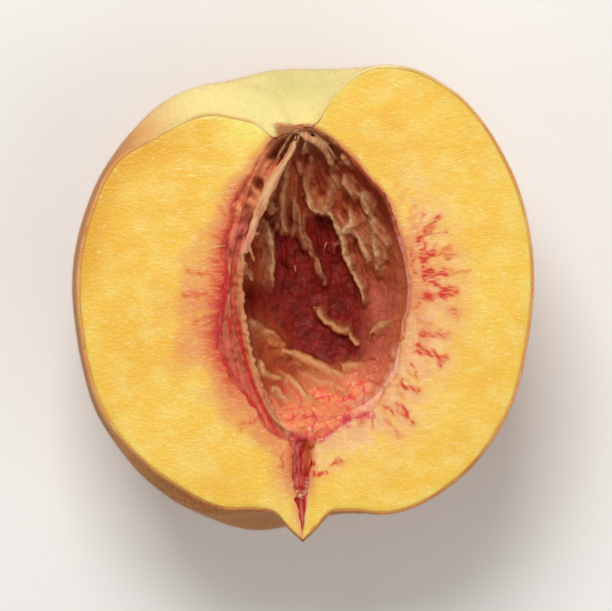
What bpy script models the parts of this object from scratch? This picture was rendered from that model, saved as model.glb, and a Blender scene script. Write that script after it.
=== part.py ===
"""Half of a ripe peach, cut in two along its suture, with the stone taken out.

One solid piece of fruit flesh in its skin. The cut face is level and on top, the stem
end is +Y and the pointed tip is -Y, and the suture furrow runs down the -X side.
Lengths are metres. The half rests on the small flat spot under its cheek.
"""
import math

import bmesh
import bpy
import numpy as np
from mathutils import Matrix, Vector

MM = 0.001

# The skin's distance from the middle of the fruit, away from the furrow, in millimetres
# at each angle in degrees swung from the tip (0) round to the floor of the stem cavity (180).
BODY_RADII = (
    (0, 36.5), (3, 34.9), (7, 32.7), (13, 32.7), (22, 34.8), (40, 35.9), (60, 35.6),
    (82, 34.8), (102, 35.8), (125, 37.8), (146, 39.5), (157, 38.9), (165, 36.6),
    (171, 32.4), (176, 27.4), (180, 25.6),
)

# How deep the suture furrow is at the same angles, in millimetres.
FURROW_DEPTHS = (
    (0, 0.0), (6, 0.0), (16, 0.6), (30, 1.9), (60, 1.3), (88, 1.3), (113, 2.0),
    (128, 2.8), (138, 5.4), (152, 6.6), (164, 7.6), (171, 6.1), (176, 4.4), (180, 0.0),
)
FURROW_WIDTH = 5.5          # half width over the cheek, degrees round the stem axis
FURROW_WIDENING = 4.5       # added to the half width as it runs into the stem cavity
FURROW_WIDENS_AT = 120.0    # degrees from the tip

# Swells and hollows of the cheeks: height in millimetres, angle from the tip and its
# spread, angle round the stem axis from the furrow and its spread, all in degrees.
CHEEK_SWELLS = (
    (-2.6, 161, 14, 29, 27),
    (3.6, 28, 15, 64, 35),
    (0.8, 84, 55, 15, 30),
    (-2.0, 106, 34, 95, 42),
)

BODY_SEGMENTS = 76
BODY_RINGS = 40
REST_SPOT_DEPTH = 0.7 * MM   # how much of the lowest cheek is pressed flat

# The stone's outline in the cut plane: distance in millimetres from the stone's middle at
# each angle in degrees, counted from +X towards the stem.
STONE_MIDDLE = (1.9, 1.8)
STONE_RADII = (
    (0, 14.2), (22, 14.2), (38, 15.2), (53, 17.5), (68, 19.4), (82, 22.4), (96, 23.0),
    (112, 20.6), (128, 17.3), (148, 14.4), (173, 13.1), (200, 13.5), (225, 15.1),
    (243, 17.9), (256, 21.4), (268, 21.6), (282, 19.4), (300, 18.4), (316, 16.7), (336, 14.6),
)
STONE_DEPTH = 12.8 * MM
STONE_WALL_POWER = 0.77      # below 1 makes the walls steeper and the floor flatter
STONE_SEGMENTS = 112
STONE_RINGS = 52

# Ridges of flesh that filled the stone's furrows: start x, y and end x, y in the cut
# plane, then height, all in millimetres from the middle of the fruit.
RIDGES = (
    (-5.5, 14.0, -6.6, 9.2, 1.6),
    (-2.6, 20.2, -3.0, 10.0, 1.8),
    (-1.1, 15.5, 3.5, 3.3, 2.0),
    (3.5, 14.5, 7.0, 5.2, 3.0),
    (7.0, 5.2, 9.3, 0.2, 1.8),
    (10.5, 12.8, 11.2, 5.0, 2.0),
    (6.2, 11.0, 10.2, 5.2, 1.4),
    (0.0, 24.6, 4.3, 20.2, 1.4),
    (6.1, 18.3, 9.1, 13.9, 1.5),
    (-0.2, 19.2, 1.4, 14.3, 1.6),
    (1.7, -0.9, 7.5, -5.6, 1.8),
    (-6.2, -4.3, 2.4, -10.2, 1.4),
    (-2.4, -11.4, 0.5, -14.8, 1.3),
    (10.5, -4.4, 13.1, -2.4, 1.2),
)
RIDGE_HALF_WIDTH = 1.1
RIDGE_CLEARANCE = 1.5 * MM   # the ridges stay this far under the cut face

# The cleft left by the stone's sharp point, running on to the tip of the fruit.
CLEFT_MIDDLE = (-0.1 * MM, -24.3 * MM)
CLEFT_HALF_LENGTH = 10.4 * MM
CLEFT_HALF_WIDTH = 1.35 * MM
CLEFT_DEPTH = 4.2 * MM
CLEFT_TAPER = 0.45           # how much narrower it is at the tip end than at the stone end

SKIN_COLOUR = (0.83, 0.42, 0.14, 1.0)


def curve_through(stations, x, closed=False):
    """A smooth curve through (position, value) stations, read at the positions x."""
    at, value = np.array(stations, dtype=float).T
    if closed:
        at = np.concatenate((at[-2:] - 360.0, at, at[:2] + 360.0))
        value = np.concatenate((value[-2:], value, value[:2]))
    slope = np.gradient(value, at)
    x = np.clip(x, at[0], at[-1])
    i = np.clip(np.searchsorted(at, x) - 1, 0, len(at) - 2)
    step = at[i + 1] - at[i]
    t = (x - at[i]) / step
    rise = value[i + 1] - value[i]
    start, end = slope[i] * step, slope[i + 1] * step
    return value[i] + t * start + t**2 * (3 * rise - 2 * start - end) + t**3 * (start + end - 2 * rise)


def skin_radius(swing, turn):
    """Distance of the skin from the middle, in millimetres, for angles in degrees."""
    widening = FURROW_WIDENING / (1.0 + np.exp((FURROW_WIDENS_AT - swing) / 10.0))
    furrow = np.exp(-((turn / (FURROW_WIDTH + widening)) ** 2))
    radius = curve_through(BODY_RADII, swing) - curve_through(FURROW_DEPTHS, swing) * furrow
    for height, at_swing, swing_spread, at_turn, turn_spread in CHEEK_SWELLS:
        along = ((swing - at_swing) / swing_spread) ** 2
        around = ((turn - at_turn) / turn_spread) ** 2
        radius = radius + height * np.exp(-along - around)
    return radius


def new_object(name, collection, mesh_maker):
    """A mesh object in the collection, its shape made by mesh_maker(bm)."""
    mesh = bpy.data.meshes.new(name)
    bm = bmesh.new()
    mesh_maker(bm)
    bmesh.ops.recalc_face_normals(bm, faces=bm.faces)
    bm.to_mesh(mesh)
    bm.free()
    obj = bpy.data.objects.new(name, mesh)
    collection.objects.link(obj)
    return obj


def whole_fruit(bm):
    """The whole peach: a sphere about the stem axis, every vertex set to the skin's radius."""
    upright = Matrix.Rotation(math.radians(90.0), 4, "X")
    bmesh.ops.create_uvsphere(bm, u_segments=BODY_SEGMENTS, v_segments=BODY_RINGS,
                              radius=1.0, matrix=upright)
    for vert in bm.verts:
        x, y, z = vert.co
        swing = math.degrees(math.acos(max(-1.0, min(1.0, -y))))
        turn = math.degrees(math.atan2(abs(z), -x))
        vert.co *= float(skin_radius(swing, turn)) * MM


def cut_in_half(bm):
    """Keep the half under the cut plane z = 0, and press the resting spot flat."""
    lowest = min(vert.co.z for vert in bm.verts)
    for height, keep_above in ((0.0, False), (lowest + REST_SPOT_DEPTH, True)):
        geometry = bm.verts[:] + bm.edges[:] + bm.faces[:]
        bmesh.ops.bisect_plane(bm, geom=geometry, dist=1e-7, plane_co=(0, 0, height),
                               plane_no=(0, 0, 1), clear_outer=not keep_above,
                               clear_inner=keep_above)
        rim = [edge for edge in bm.edges if edge.is_boundary]
        bmesh.ops.edgeloop_fill(bm, edges=rim)


def half_fruit(bm):
    whole_fruit(bm)
    cut_in_half(bm)


def ridge_height(x, y):
    """Height in millimetres of the ridges over the point x, y of the hollow."""
    height = 0.0
    for x0, y0, x1, y1, crest in RIDGES:
        along = Vector((x1 - x0, y1 - y0))
        offset = Vector((x - x0, y - y0))
        part = max(0.0, min(1.0, offset.dot(along) / along.length_squared))
        gap = (offset - along * part).length
        rise = crest * (0.6 + 0.4 * part) * math.exp(-((gap / RIDGE_HALF_WIDTH) ** 2))
        height = max(height, rise)
    return height


def stone(bm):
    """The stone: its outline in the cut plane, round sides below, furrowed by the ridges."""
    bmesh.ops.create_uvsphere(bm, u_segments=STONE_SEGMENTS, v_segments=STONE_RINGS, radius=1.0)
    middle = Vector((STONE_MIDDLE[0] * MM, STONE_MIDDLE[1] * MM, 0.0))
    for vert in bm.verts:
        x, y, z = vert.co
        angle = math.degrees(math.atan2(y, x)) % 360.0
        outline = float(curve_through(STONE_RADII, angle, closed=True)) * MM
        depth = STONE_DEPTH * z
        out = math.hypot(x, y) ** STONE_WALL_POWER
        place = middle + Matrix.Rotation(math.radians(angle), 3, "Z") @ Vector((outline * out, 0.0, depth))
        if depth < 0.0:
            lifted = depth + ridge_height(place.x / MM, place.y / MM) * MM
            place.z = max(depth, min(lifted, -RIDGE_CLEARANCE))
        vert.co = place


def stone_point(bm):
    """The cleft cutter: a spindle along the stem axis, tapering towards the tip."""
    bmesh.ops.create_uvsphere(bm, u_segments=16, v_segments=14, radius=1.0)
    for vert in bm.verts:
        x, y, z = vert.co
        taper = 1.0 + CLEFT_TAPER * y
        vert.co = Vector((CLEFT_MIDDLE[0] + x * CLEFT_HALF_WIDTH * taper,
                          CLEFT_MIDDLE[1] + y * CLEFT_HALF_LENGTH,
                          z * CLEFT_DEPTH * taper))


def cut_away(target, cutter):
    """Take the cutter's shape out of the target for good."""
    cutter.hide_render = True
    cutter.display_type = "WIRE"
    cut = target.modifiers.new("Cut " + cutter.name, "BOOLEAN")
    cut.operation = "DIFFERENCE"
    cut.solver = "EXACT"
    cut.object = cutter
    evaluated = target.evaluated_get(bpy.context.evaluated_depsgraph_get())
    mesh = bpy.data.meshes.new_from_object(evaluated)
    target.modifiers.remove(cut)
    target.data = mesh


def set_on_origin(obj):
    """Put the middle of the part's base on the origin."""
    corners = np.array([vert.co for vert in obj.data.vertices])
    low, high = corners.min(axis=0), corners.max(axis=0)
    shift = Vector((-(low[0] + high[0]) / 2, -(low[1] + high[1]) / 2, -low[2]))
    obj.data.transform(Matrix.Translation(shift))


def weld_and_triangulate(obj):
    """Merge the doubled vertices a cut leaves, and make every face a triangle."""
    bm = bmesh.new()
    bm.from_mesh(obj.data)
    bmesh.ops.remove_doubles(bm, verts=bm.verts, dist=1e-5)
    bmesh.ops.dissolve_degenerate(bm, edges=bm.edges, dist=1e-6)
    bmesh.ops.triangulate(bm, faces=bm.faces)
    bm.to_mesh(obj.data)
    bm.free()


def skin_material():
    material = bpy.data.materials.new("peach_skin")
    material.use_nodes = True
    shader = material.node_tree.nodes["Principled BSDF"]
    shader.inputs["Base Color"].default_value = SKIN_COLOUR
    shader.inputs["Roughness"].default_value = 0.6
    return material


def main():
    for obj in list(bpy.data.objects):
        bpy.data.objects.remove(obj)
    parts = bpy.data.collections.new("peach_half_part")
    cutters = bpy.data.collections.new("cutters")
    for collection in (parts, cutters):
        bpy.context.scene.collection.children.link(collection)

    fruit = new_object("peach_half", parts, half_fruit)
    cut_away(fruit, new_object("stone", cutters, stone))
    cut_away(fruit, new_object("stone_point", cutters, stone_point))
    weld_and_triangulate(fruit)
    set_on_origin(fruit)
    fruit.data.materials.clear()
    fruit.data.materials.append(skin_material())


main()
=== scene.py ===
"""Half of a ripe peach with its stone taken out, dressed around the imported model.

Sizes inside the shape functions are millimetres from the middle of the fruit, in the
fruit's own directions: x across the cut face away from the suture, y towards the stem,
z up out of the cut face. fruit_to_frame() turns them into metres in the frame. Angles
are degrees about the stone's middle, from +x towards +y, unless a comment says otherwise.
"""
import math
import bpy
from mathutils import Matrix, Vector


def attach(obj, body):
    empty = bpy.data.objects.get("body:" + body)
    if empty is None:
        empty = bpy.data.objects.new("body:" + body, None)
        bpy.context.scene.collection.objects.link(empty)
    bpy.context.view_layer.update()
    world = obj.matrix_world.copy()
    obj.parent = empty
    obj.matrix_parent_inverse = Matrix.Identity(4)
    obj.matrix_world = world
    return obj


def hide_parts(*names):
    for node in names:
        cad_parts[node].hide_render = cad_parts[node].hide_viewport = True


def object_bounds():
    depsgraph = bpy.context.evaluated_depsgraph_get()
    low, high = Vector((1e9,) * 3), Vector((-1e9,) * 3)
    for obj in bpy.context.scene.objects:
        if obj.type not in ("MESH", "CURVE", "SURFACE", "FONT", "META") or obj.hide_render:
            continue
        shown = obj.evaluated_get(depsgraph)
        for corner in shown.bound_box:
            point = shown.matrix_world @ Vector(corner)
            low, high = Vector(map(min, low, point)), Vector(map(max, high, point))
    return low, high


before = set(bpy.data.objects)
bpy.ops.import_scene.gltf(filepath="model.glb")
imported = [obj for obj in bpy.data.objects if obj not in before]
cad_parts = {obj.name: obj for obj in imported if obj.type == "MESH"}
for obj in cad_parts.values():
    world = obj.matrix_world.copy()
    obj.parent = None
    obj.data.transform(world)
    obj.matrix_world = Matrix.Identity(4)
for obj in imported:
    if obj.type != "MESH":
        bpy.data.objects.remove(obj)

from types import SimpleNamespace

import bmesh
import bpy
import numpy as np
from bpy.props import FloatProperty, FloatVectorProperty, IntProperty, PointerProperty
from mathutils import Vector

bl_info = {
    "name": "Peach Half",
    "version": (1, 0, 0),
    "blender": (4, 5, 0),
    "location": "3D View > Sidebar > Peach",
    "description": "Cut flesh, stone hollow, velvet skin and down of half a peach",
    "category": "Add Mesh",
}

MM = 0.001
NODE = "peach_half"
CAD_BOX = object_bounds()
SEED = 815

# ---------------------------------------------------------------------------
# The fruit's form, in millimetres and degrees

# Distance of the skin from the middle, at angles from the tip to the stem.
BODY_RADII = (
    (0, 36.5), (3, 34.9), (7, 32.7), (13, 32.7), (22, 34.8), (40, 35.9), (60, 35.6),
    (82, 34.8), (102, 35.8), (125, 37.8), (146, 39.5), (157, 38.9), (165, 36.6),
    (171, 32.4), (176, 27.6), (180, 27.0),
)
# Depth of the suture's furrow at the same angles.
FURROW_DEPTHS = (
    (0, 0.0), (6, 0.0), (16, 0.6), (30, 1.9), (60, 1.3), (88, 1.3), (113, 2.0),
    (128, 2.8), (138, 5.4), (152, 6.6), (164, 7.6), (171, 6.1), (174, 2.7), (177, 0.3), (180, 0.0),
)
# Angle to each side over which the furrow falls away, and how it widens towards the stem.
FURROW_WIDTH = 5.5
FURROW_WIDENING = 11.0
FURROW_WIDENS_AT = 120.0
FURROW_BLEND = 10.0
# Swells of the cheek: height, angle from the tip, its spread, angle round the stem axis, its spread.
CHEEK_SWELLS = (
    (-2.6, 161, 14, 29, 27),
    (3.6, 28, 15, 64, 35),
    (0.8, 84, 55, 15, 30),
    (-2.0, 106, 34, 95, 42),
)
SKIN_THICKNESS = 0.32

# Radius of the hollow's wall about the stone's middle.
STONE_MIDDLE = np.array((1.9, 1.8))
STONE_RADII = (
    (0, 14.2), (22, 14.2), (38, 15.2), (53, 17.5), (68, 19.6), (82, 23.0), (96, 24.4),
    (112, 21.2), (128, 17.3), (148, 14.4), (173, 13.1), (200, 13.5), (225, 15.1),
    (243, 17.9), (256, 21.4), (268, 21.6), (282, 19.4), (300, 18.4), (316, 16.7), (336, 14.6),
)
# Where the cut flesh ends: beyond the hollow's wall by a torn ledge on the left.
FLESH_RIM_RADII = (
    (0, 14.3), (14, 14.3), (30, 15.0), (45, 16.4), (55, 17.8), (66, 19.0), (77, 21.3),
    (86, 23.4), (91, 24.4), (95, 24.7), (100, 24.5), (104, 24.0), (108.6, 22.8), (112, 21.9),
    (117, 20.6), (129, 18.9), (136, 17.5), (143, 16.4), (157, 15.0), (170, 13.7), (184, 13.7),
    (196, 14.9), (207, 16.2), (218, 17.5), (232, 18.8), (243.6, 20.2), (250, 22.0), (256.4, 23.0),
    (261.1, 24.0), (262.4, 26.0), (263.1, 28.5), (264.1, 30.4), (265.2, 32.3), (266.2, 34.4),
    (267.0, 36.0), (267.3, 34.3), (267.5, 32.3), (267.8, 30.3), (268.3, 28.3), (268.8, 25.8),
    (269.0, 24.2), (270, 22.8), (271.5, 22.3), (276.4, 21.5), (281, 20.7), (286, 20.4),
    (290, 20.5), (294, 20.1), (298, 19.4), (302, 18.9), (306, 18.3), (311, 17.7), (316, 17.0),
    (320, 16.3), (328, 15.3), (336, 14.6), (344, 14.4),
)
# The dark pink line along the lower edge of the hollow: x, y.
CORE_LINE = (
    (-1.8, -20.6), (0.2, -20.7), (2.2, -20.9), (4.0, -20.2), (5.2, -19.2), (6.6, -18.1),
    (8.0, -17.7), (9.6, -17.6), (10.8, -18.1),
)
STONE_DEPTH = 12.8
BOWL_POWER = 2.6
BED_THICKNESS = 1.5
BED_OVERLAP = 0.75
HOLLOW_TRIANGLES = 190000
STEM_END = 27.5
FLOOR_SOFTNESS = 0.12
TIP_SLOPE = 0.6

# The cleft that the stone's point leaves in the cut face: y, middle x, half width, depth.
CLEFT = (
    (-34.6, 0.1, 0.05, 0.2), (-33.4, 0.0, 0.25, 0.5), (-31.5, -0.25, 0.55, 0.9), (-29.8, -0.4, 0.85, 1.2),
    (-28.6, -0.45, 1.05, 0.7), (-27.4, -0.35, 1.25, 0.9), (-26.0, -0.25, 1.45, 2.0), (-24.0, -0.2, 1.55, 2.4),
    (-21.5, -0.1, 1.75, 2.0), (-19.5, 0.0, 2.4, 1.0),
)

# Ridges torn round the stone's furrows. Each runs down its path from a flush start to a
# free end: height at the start and the end, width of the steep side, width of the gentle
# side, whether the gentle side lies left (1) or right (-1) of the path, and how pale it is.
RIDGES = (
    (((-2.3, 21.4), (-2.7, 18.5), (-3.1, 15.5), (-3.2, 13.0), (-2.8, 10.9)), 1.4, 2.6, 0.9, 1.4, -1, 0.6),
    (((-5.6, 12.2), (-4.9, 10.5), (-4.6, 8.0), (-4.5, 5.5), (-4.5, 3.0)), 2.4, 1.0, 0.35, 2.7, -1, 0.75),
    (((0.0, 19.6), (0.2, 17.6), (0.5, 16.2), (1.0, 14.9), (2.0, 14.0), (2.9, 13.5)),
     0.8, 2.8, 0.3, 2.3, 1, 0.8),
    (((-1.3, 15.8), (-0.9, 14.2), (-0.5, 12.4), (0.1, 10.4), (1.1, 8.6), (1.9, 6.8), (2.8, 4.8), (3.5, 3.0)),
     1.7, 0.8, 0.5, 1.2, -1, 0.35),
    (((4.6, 20.2), (4.4, 18.2), (3.9, 16.2), (3.6, 14.4)), 0.5, 1.8, 0.8, 1.8, 1, 0.35),
    (((3.5, 14.4), (4.4, 12.7), (5.2, 11.0), (6.0, 9.0), (6.5, 7.0), (7.1, 5.0), (8.0, 3.8), (8.7, 2.4),
      (8.9, 0.6)),
     3.2, 1.6, 0.25, 1.9, 1, 0.9),
    (((7.0, 13.8), (7.1, 12.2), (6.2, 10.9), (7.4, 10.4), (8.5, 9.5), (9.1, 8.2), (9.4, 6.8)),
     2.0, 1.4, 0.28, 3.2, 1, 0.85),
    (((10.3, 13.4), (10.5, 12.0), (10.7, 10.2), (10.9, 8.0), (11.2, 5.2)), 1.6, 2.2, 0.28, 2.6, 1, 0.6),
    (((9.0, 17.2), (9.2, 15.4), (9.8, 13.8)), 0.8, 2.0, 0.28, 2.4, 1, 0.65),
    (((6.2, 20.0), (6.2, 18.6), (6.3, 17.9), (7.2, 16.4)), 0.9, 1.8, 0.3, 2.4, 1, 0.55),
    (((5.6, 22.8), (5.8, 21.4), (7.3, 20.6)), 0.7, 1.3, 0.3, 1.6, 1, 0.6),
    (((1.7, -0.9), (3.0, -2.0), (4.0, -3.2), (5.0, -4.2), (6.0, -4.7), (6.9, -4.5), (7.4, -5.3), (8.3, -6.4)),
     1.5, 1.5, 0.6, 1.6, 1, 0.85),
    (((10.3, -4.7), (11.0, -3.9), (12.0, -3.2), (13.6, -2.7)), 1.7, 1.0, 0.4, 2.2, -1, 0.7),
    (((-8.4, -2.4), (-6.2, -4.0), (-5.0, -4.6), (-3.7, -5.5)), 1.6, 2.2, 0.5, 3.0, -1, 0.6),
    (((-3.2, -7.4), (-0.8, -8.0), (1.0, -8.8), (2.6, -9.8), (4.5, -10.6), (6.0, -11.1)),
     2.0, 1.2, 0.6, 2.6, -1, 0.8),
    (((6.2, -11.2), (6.1, -9.8), (7.0, -9.5), (8.8, -9.3)), 2.2, 0.8, 0.4, 2.2, -1, 0.7),
    (((-6.5, -9.1), (-5.9, -10.4), (-4.9, -11.2), (-3.6, -11.5)), 2.2, 1.6, 0.4, 2.0, -1, 0.9),
    (((-2.4, -11.1), (-1.2, -12.0), (-0.4, -13.2), (0.4, -14.2), (1.6, -14.8)), 2.3, 1.2, 0.4, 2.8, -1, 0.9),
    (((-1.2, -10.6), (1.0, -11.3), (2.4, -11.9), (4.0, -12.5), (5.8, -12.8)), 1.2, 1.5, 0.5, 2.4, -1, 0.6),
    (((-5.0, -12.9), (-4.0, -13.4), (-3.4, -14.2), (-1.9, -15.0)), 1.5, 1.0, 0.4, 1.8, -1, 0.8),
    (((9.0, -12.0), (10.4, -11.8), (12.0, -11.9)), 0.9, 0.9, 0.4, 1.2, 1, 0.3),
)
MAIN_RIDGE = RIDGES[5][0]
LEFT_RIDGE = RIDGES[1][0]

# Free teeth and shreds: root x, y, tip x, y, how far the tip stands over the wall, root width.
TEETH = (
    (-0.5, 20.6, -0.3, 19.5, 2.0, 0.40),
    (-2.9, 12.0, -2.3, 10.9, 2.4, 0.40),
    (0.6, 16.0, 0.8, 14.9, 2.9, 0.35),
    (4.1, 13.6, 3.4, 14.5, 3.2, 0.35),
    (7.2, 11.3, 5.9, 10.9, 2.7, 0.40),
    (6.5, 18.8, 6.0, 18.0, 2.4, 0.40),
    (3.7, 9.5, 3.2, 8.0, 2.0, 0.22),
    (-1.4, 6.0, -1.1, 4.6, 1.7, 0.25),
    (11.2, 6.6, 11.3, 5.2, 2.2, 0.35),
    (9.4, 14.8, 9.8, 13.6, 2.2, 0.40),
    (2.6, -1.6, 1.7, -0.8, 2.0, 0.32),
    (6.4, -5.0, 7.0, -4.3, 2.0, 0.30),
    (6.3, -10.2, 5.8, -9.2, 2.5, 0.30),
    (-6.0, -10.0, -6.4, -9.0, 2.2, 0.30),
    (10.9, -4.1, 10.3, -4.8, 2.2, 0.28),
    (-4.4, -5.1, -3.6, -5.6, 2.2, 0.32),
)

# Rounded lobes hanging from the stem end: x, y of both ends, stand over the wall, radius.
LOBES = (
    (0.2, 24.6, 0.5, 22.8, 0.9, 0.5),
    (1.2, 23.0, 1.3, 21.5, 1.0, 0.5),
    (-0.8, 22.0, -0.4, 19.8, 1.5, 0.55),
    (-5.2, 15.8, -4.8, 13.3, 1.6, 0.65),
    (9.2, 17.0, 9.7, 14.2, 1.1, 0.7),
    (6.2, 22.6, 7.2, 20.9, 0.8, 0.6),
    (-9.2, 6.0, -8.2, 3.9, 2.0, 0.6),
    (-4.2, 20.9, -5.2, 18.4, 0.8, 0.5),
    (11.2, 9.4, 11.3, 7.8, 1.6, 0.4),
)

# The strand of torn flesh along the left of the hollow, from the stem end to the cleft.
STRAND = (
    (-1.0, 25.6, -0.6), (-1.6, 23.6, -0.9), (-3.3, 20.6, -1.0), (-5.2, 17.3, -0.9),
    (-6.6, 14.2, -0.9), (-7.6, 11.4, -0.9), (-8.8, 7.4, -0.9), (-9.2, 3.0, -0.9), (-8.9, -1.2, -0.9),
    (-8.3, -5.0, -0.8), (-7.4, -8.6, -0.8), (-6.2, -12.5, -0.7), (-5.0, -15.2, -0.65), (-3.5, -18.0, -0.6),
    (-1.5, -21.0, -0.5),
)
UPPER_STRAND = STRAND[:7]
# The upper strand's girth: share of the way down it, share of its full radius.
STRAND_SWELL = ((0.0, 0.45), (0.2, 0.6), (0.45, 0.85), (0.65, 0.9), (0.8, 0.7), (0.92, 0.45), (1.0, 0.3))
# Thin fibres, through points at x, y, z: in the cleft, at the stem end and at the left wall.
CLEFT_FIBRES = (
    ((-1.5, -21.4, -0.7), (-1.35, -24.0, -0.9), (-1.45, -26.4, -0.7), (-1.1, -28.4, -0.8)),
    ((-0.6, -21.6, -1.8), (-0.75, -24.2, -2.0), (-0.5, -26.8, -1.5), (-0.6, -28.6, -0.9)),
    ((0.3, -22.4, -2.6), (0.2, -24.8, -2.6), (0.5, -27.0, -1.6), (0.2, -28.9, -0.8)),
    ((0.9, -26.2, -1.0), (0.4, -27.6, -0.7), (-0.4, -28.6, -0.7)),
    ((1.0, -27.4, -0.5), (0.5, -28.4, -0.6), (-0.7, -28.9, -0.9)),
    ((-0.35, -28.8, -0.9), (-0.15, -30.8, -0.8), (0.0, -32.8, -0.35)),
)
STEM_STRAND = (
    (-0.4, 25.5, -0.8), (1.6, 24.6, -1.4), (3.1, 23.6, -2.6), (3.9, 22.3, -4.0), (4.5, 20.8, -5.6),
)
STEM_FIBRES = (
    ((-1.5, 25.9, -0.8), (-2.6, 24.3, -1.6), (-4.0, 22.0, -2.6)),
    ((-0.2, 26.3, -0.8), (-0.9, 24.6, -1.8), (-1.7, 22.6, -3.4)),
    ((0.5, 26.2, -0.8), (0.5, 24.8, -1.9), (0.0, 23.0, -3.8)),
    ((0.9, 26.4, -0.7), (2.2, 25.3, -1.2), (3.9, 23.6, -2.0), (5.0, 22.0, -3.2)),
    ((0.4, 26.6, -0.6), (2.6, 25.9, -0.8), (4.4, 24.4, -1.0)),
)
SPIKES = (
    ((-8.3, 9.0, -1.0), (-7.9, 7.6, -1.6), (-7.4, 6.1, -2.6)),
    ((-8.0, 11.2, -0.6), (-7.2, 10.4, -1.4), (-6.6, 10.6, -2.4)),
    ((-9.3, 5.0, -1.6), (-8.5, 4.4, -3.0), (-7.7, 3.2, -4.4)),
)

# How far the flush reaches from the hollow's rim into the flesh, at angles about its middle.
BLUSH_WIDTHS = (
    (0, 8.5), (15, 8.5), (25, 6.0), (35, 2.4), (50, 1.3), (70, 1.4), (90, 1.2), (110, 2.0), (128, 2.8),
    (145, 4.4), (157, 6.0), (175, 9.0), (190, 10.0), (205, 8.4), (225, 5.8), (245, 5.2), (258, 4.5),
    (268, 3.5), (276, 3.0), (290, 3.0), (310, 4.0), (330, 5.5), (345, 8.0),
)

# Red streaks in the cut flesh: start x, y, end x, y, width, strength.
STREAKS = (
    (17.3, 9.0, 20.5, 12.8, 0.5, 0.8),
    (18.0, 6.8, 19.9, 7.4, 0.9, 0.9),
    (19.9, 7.4, 22.6, 8.2, 0.4, 0.5),
    (20.0, 7.2, 23.0, 6.9, 0.35, 0.5),
    (18.4, 4.2, 21.4, 4.4, 0.7, 1.0),
    (21.4, 4.4, 25.1, 4.7, 0.35, 0.4),
    (19.4, 3.0, 22.4, 1.8, 0.6, 0.9),
    (18.6, 0.9, 23.1, 1.3, 0.6, 0.85),
    (22.7, -1.5, 23.4, -1.7, 0.9, 0.5),
    (18.3, -5.0, 21.8, -5.0, 0.6, 0.7),
    (17.8, -6.8, 21.2, -9.4, 0.45, 0.8),
    (19.4, -7.8, 21.8, -8.6, 0.5, 0.7),
    (14.9, -12.5, 17.6, -13.7, 0.5, 0.8),
    (14.3, -15.7, 16.4, -18.4, 0.4, 0.6),
    (12.6, -17.8, 14.6, -20.4, 0.35, 0.4),
    (4.6, -24.8, 5.8, -24.2, 0.35, 0.7),
    (1.4, -26.6, 3.0, -26.0, 0.4, 0.7),
    (17.6, 11.5, 18.4, 13.4, 0.3, 0.5),
    (-3.1, -23.0, -3.1, -25.0, 0.35, 0.7),
    (1.5, -24.4, 1.7, -26.4, 0.35, 0.8),
    (14.9, -15.4, 16.8, -18.6, 0.25, 0.9),
    (12.2, -15.3, 13.6, -17.2, 0.22, 0.7),
    (17.0, -7.5, 18.8, -7.9, 0.3, 0.8),
    (19.0, 10.2, 21.6, 10.6, 0.25, 0.5),
    (18.6, 9.0, 18.0, 6.6, 0.45, 0.7),
    (16.7, 8.0, 16.9, 4.5, 0.35, 0.6),
    (18.2, 5.6, 18.6, 3.2, 0.4, 0.7),
    (19.2, 1.2, 17.0, -0.6, 0.3, 0.6),
    (16.6, -9.6, 17.6, -11.6, 0.25, 0.6),
    (-13.6, 4.0, -17.6, 4.8, 0.5, 0.45),
    (-13.4, 1.2, -17.8, 1.0, 0.5, 0.45),
    (-13.6, -2.2, -16.6, -2.9, 0.5, 0.4),
    (-6.4, -17.4, -9.6, -19.0, 0.5, 0.45),
)
# Paler pads of flesh between the streaks: start x, y, end x, y, half width.
PADS = (
    (16.2, -2.2, 16.6, -4.6, 0.9), (16.2, -6.2, 18.4, -6.4, 0.6), (16.6, -9.2, 18.8, -10.6, 1.1),
    (10.4, -15.8, 12.2, -18.2, 0.8), (13.2, -15.8, 15.4, -18.4, 0.9), (15.0, -13.6, 17.4, -15.0, 0.6),
    (4.2, -21.8, 8.6, -20.0, 1.2), (19.8, -0.2, 22.0, -1.0, 0.7), (17.2, 13.8, 16.8, 15.6, 0.5),
)
# Pale threads on the cut face: thickness, then x and y of the points they pass.
THREADS = (
    (0.6, (3.2, 26.6), (8.2, 26.4), (13.0, 26.2)),
    (0.45, (13.2, 24.6), (14.6, 22.8), (15.2, 20.0), (14.8, 17.4)),
    (0.8, (-15.7, 19.0), (-13.6, 19.5), (-11.7, 19.3)),
    (1.0, (-10.0, 17.0), (-12.8, 16.6), (-14.2, 15.5), (-13.9, 14.0)),
    (0.7, (-20.1, 17.8), (-18.8, 17.0)),
    (0.7, (-28.0, 17.8), (-27.2, 17.5), (-26.2, 17.7)),
    (0.8, (-14.6, 8.1), (-13.2, 8.4), (-11.6, 8.6)),
    (0.4, (26.5, -12.8), (25.6, -17.4), (22.6, -21.6), (18.9, -25.1)),
    (0.35, (-25.0, -1.0), (-24.6, -5.0), (-24.9, -9.5)),
    (0.6, (18.0, 21.0), (19.2, 18.0), (19.0, 15.0)),
    (0.9, (16.1, -1.0), (15.3, -2.6), (15.1, -4.3), (15.7, -5.4), (16.6, -5.1), (17.2, -3.6), (16.9, -2.0),
     (16.2, -1.1)),
)

# Coats of down: name, hairs per square metre, length against a short hair, seed.
DOWN_COATS = (
    ("short_down_a", 5.2e6, 0.65, 11),
    ("short_down_b", 5.2e6, 0.65, 12),
    ("long_down", 3.6e6, 1.15, 13),
)


# ---------------------------------------------------------------------------
# Curves, noise and masks

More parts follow.
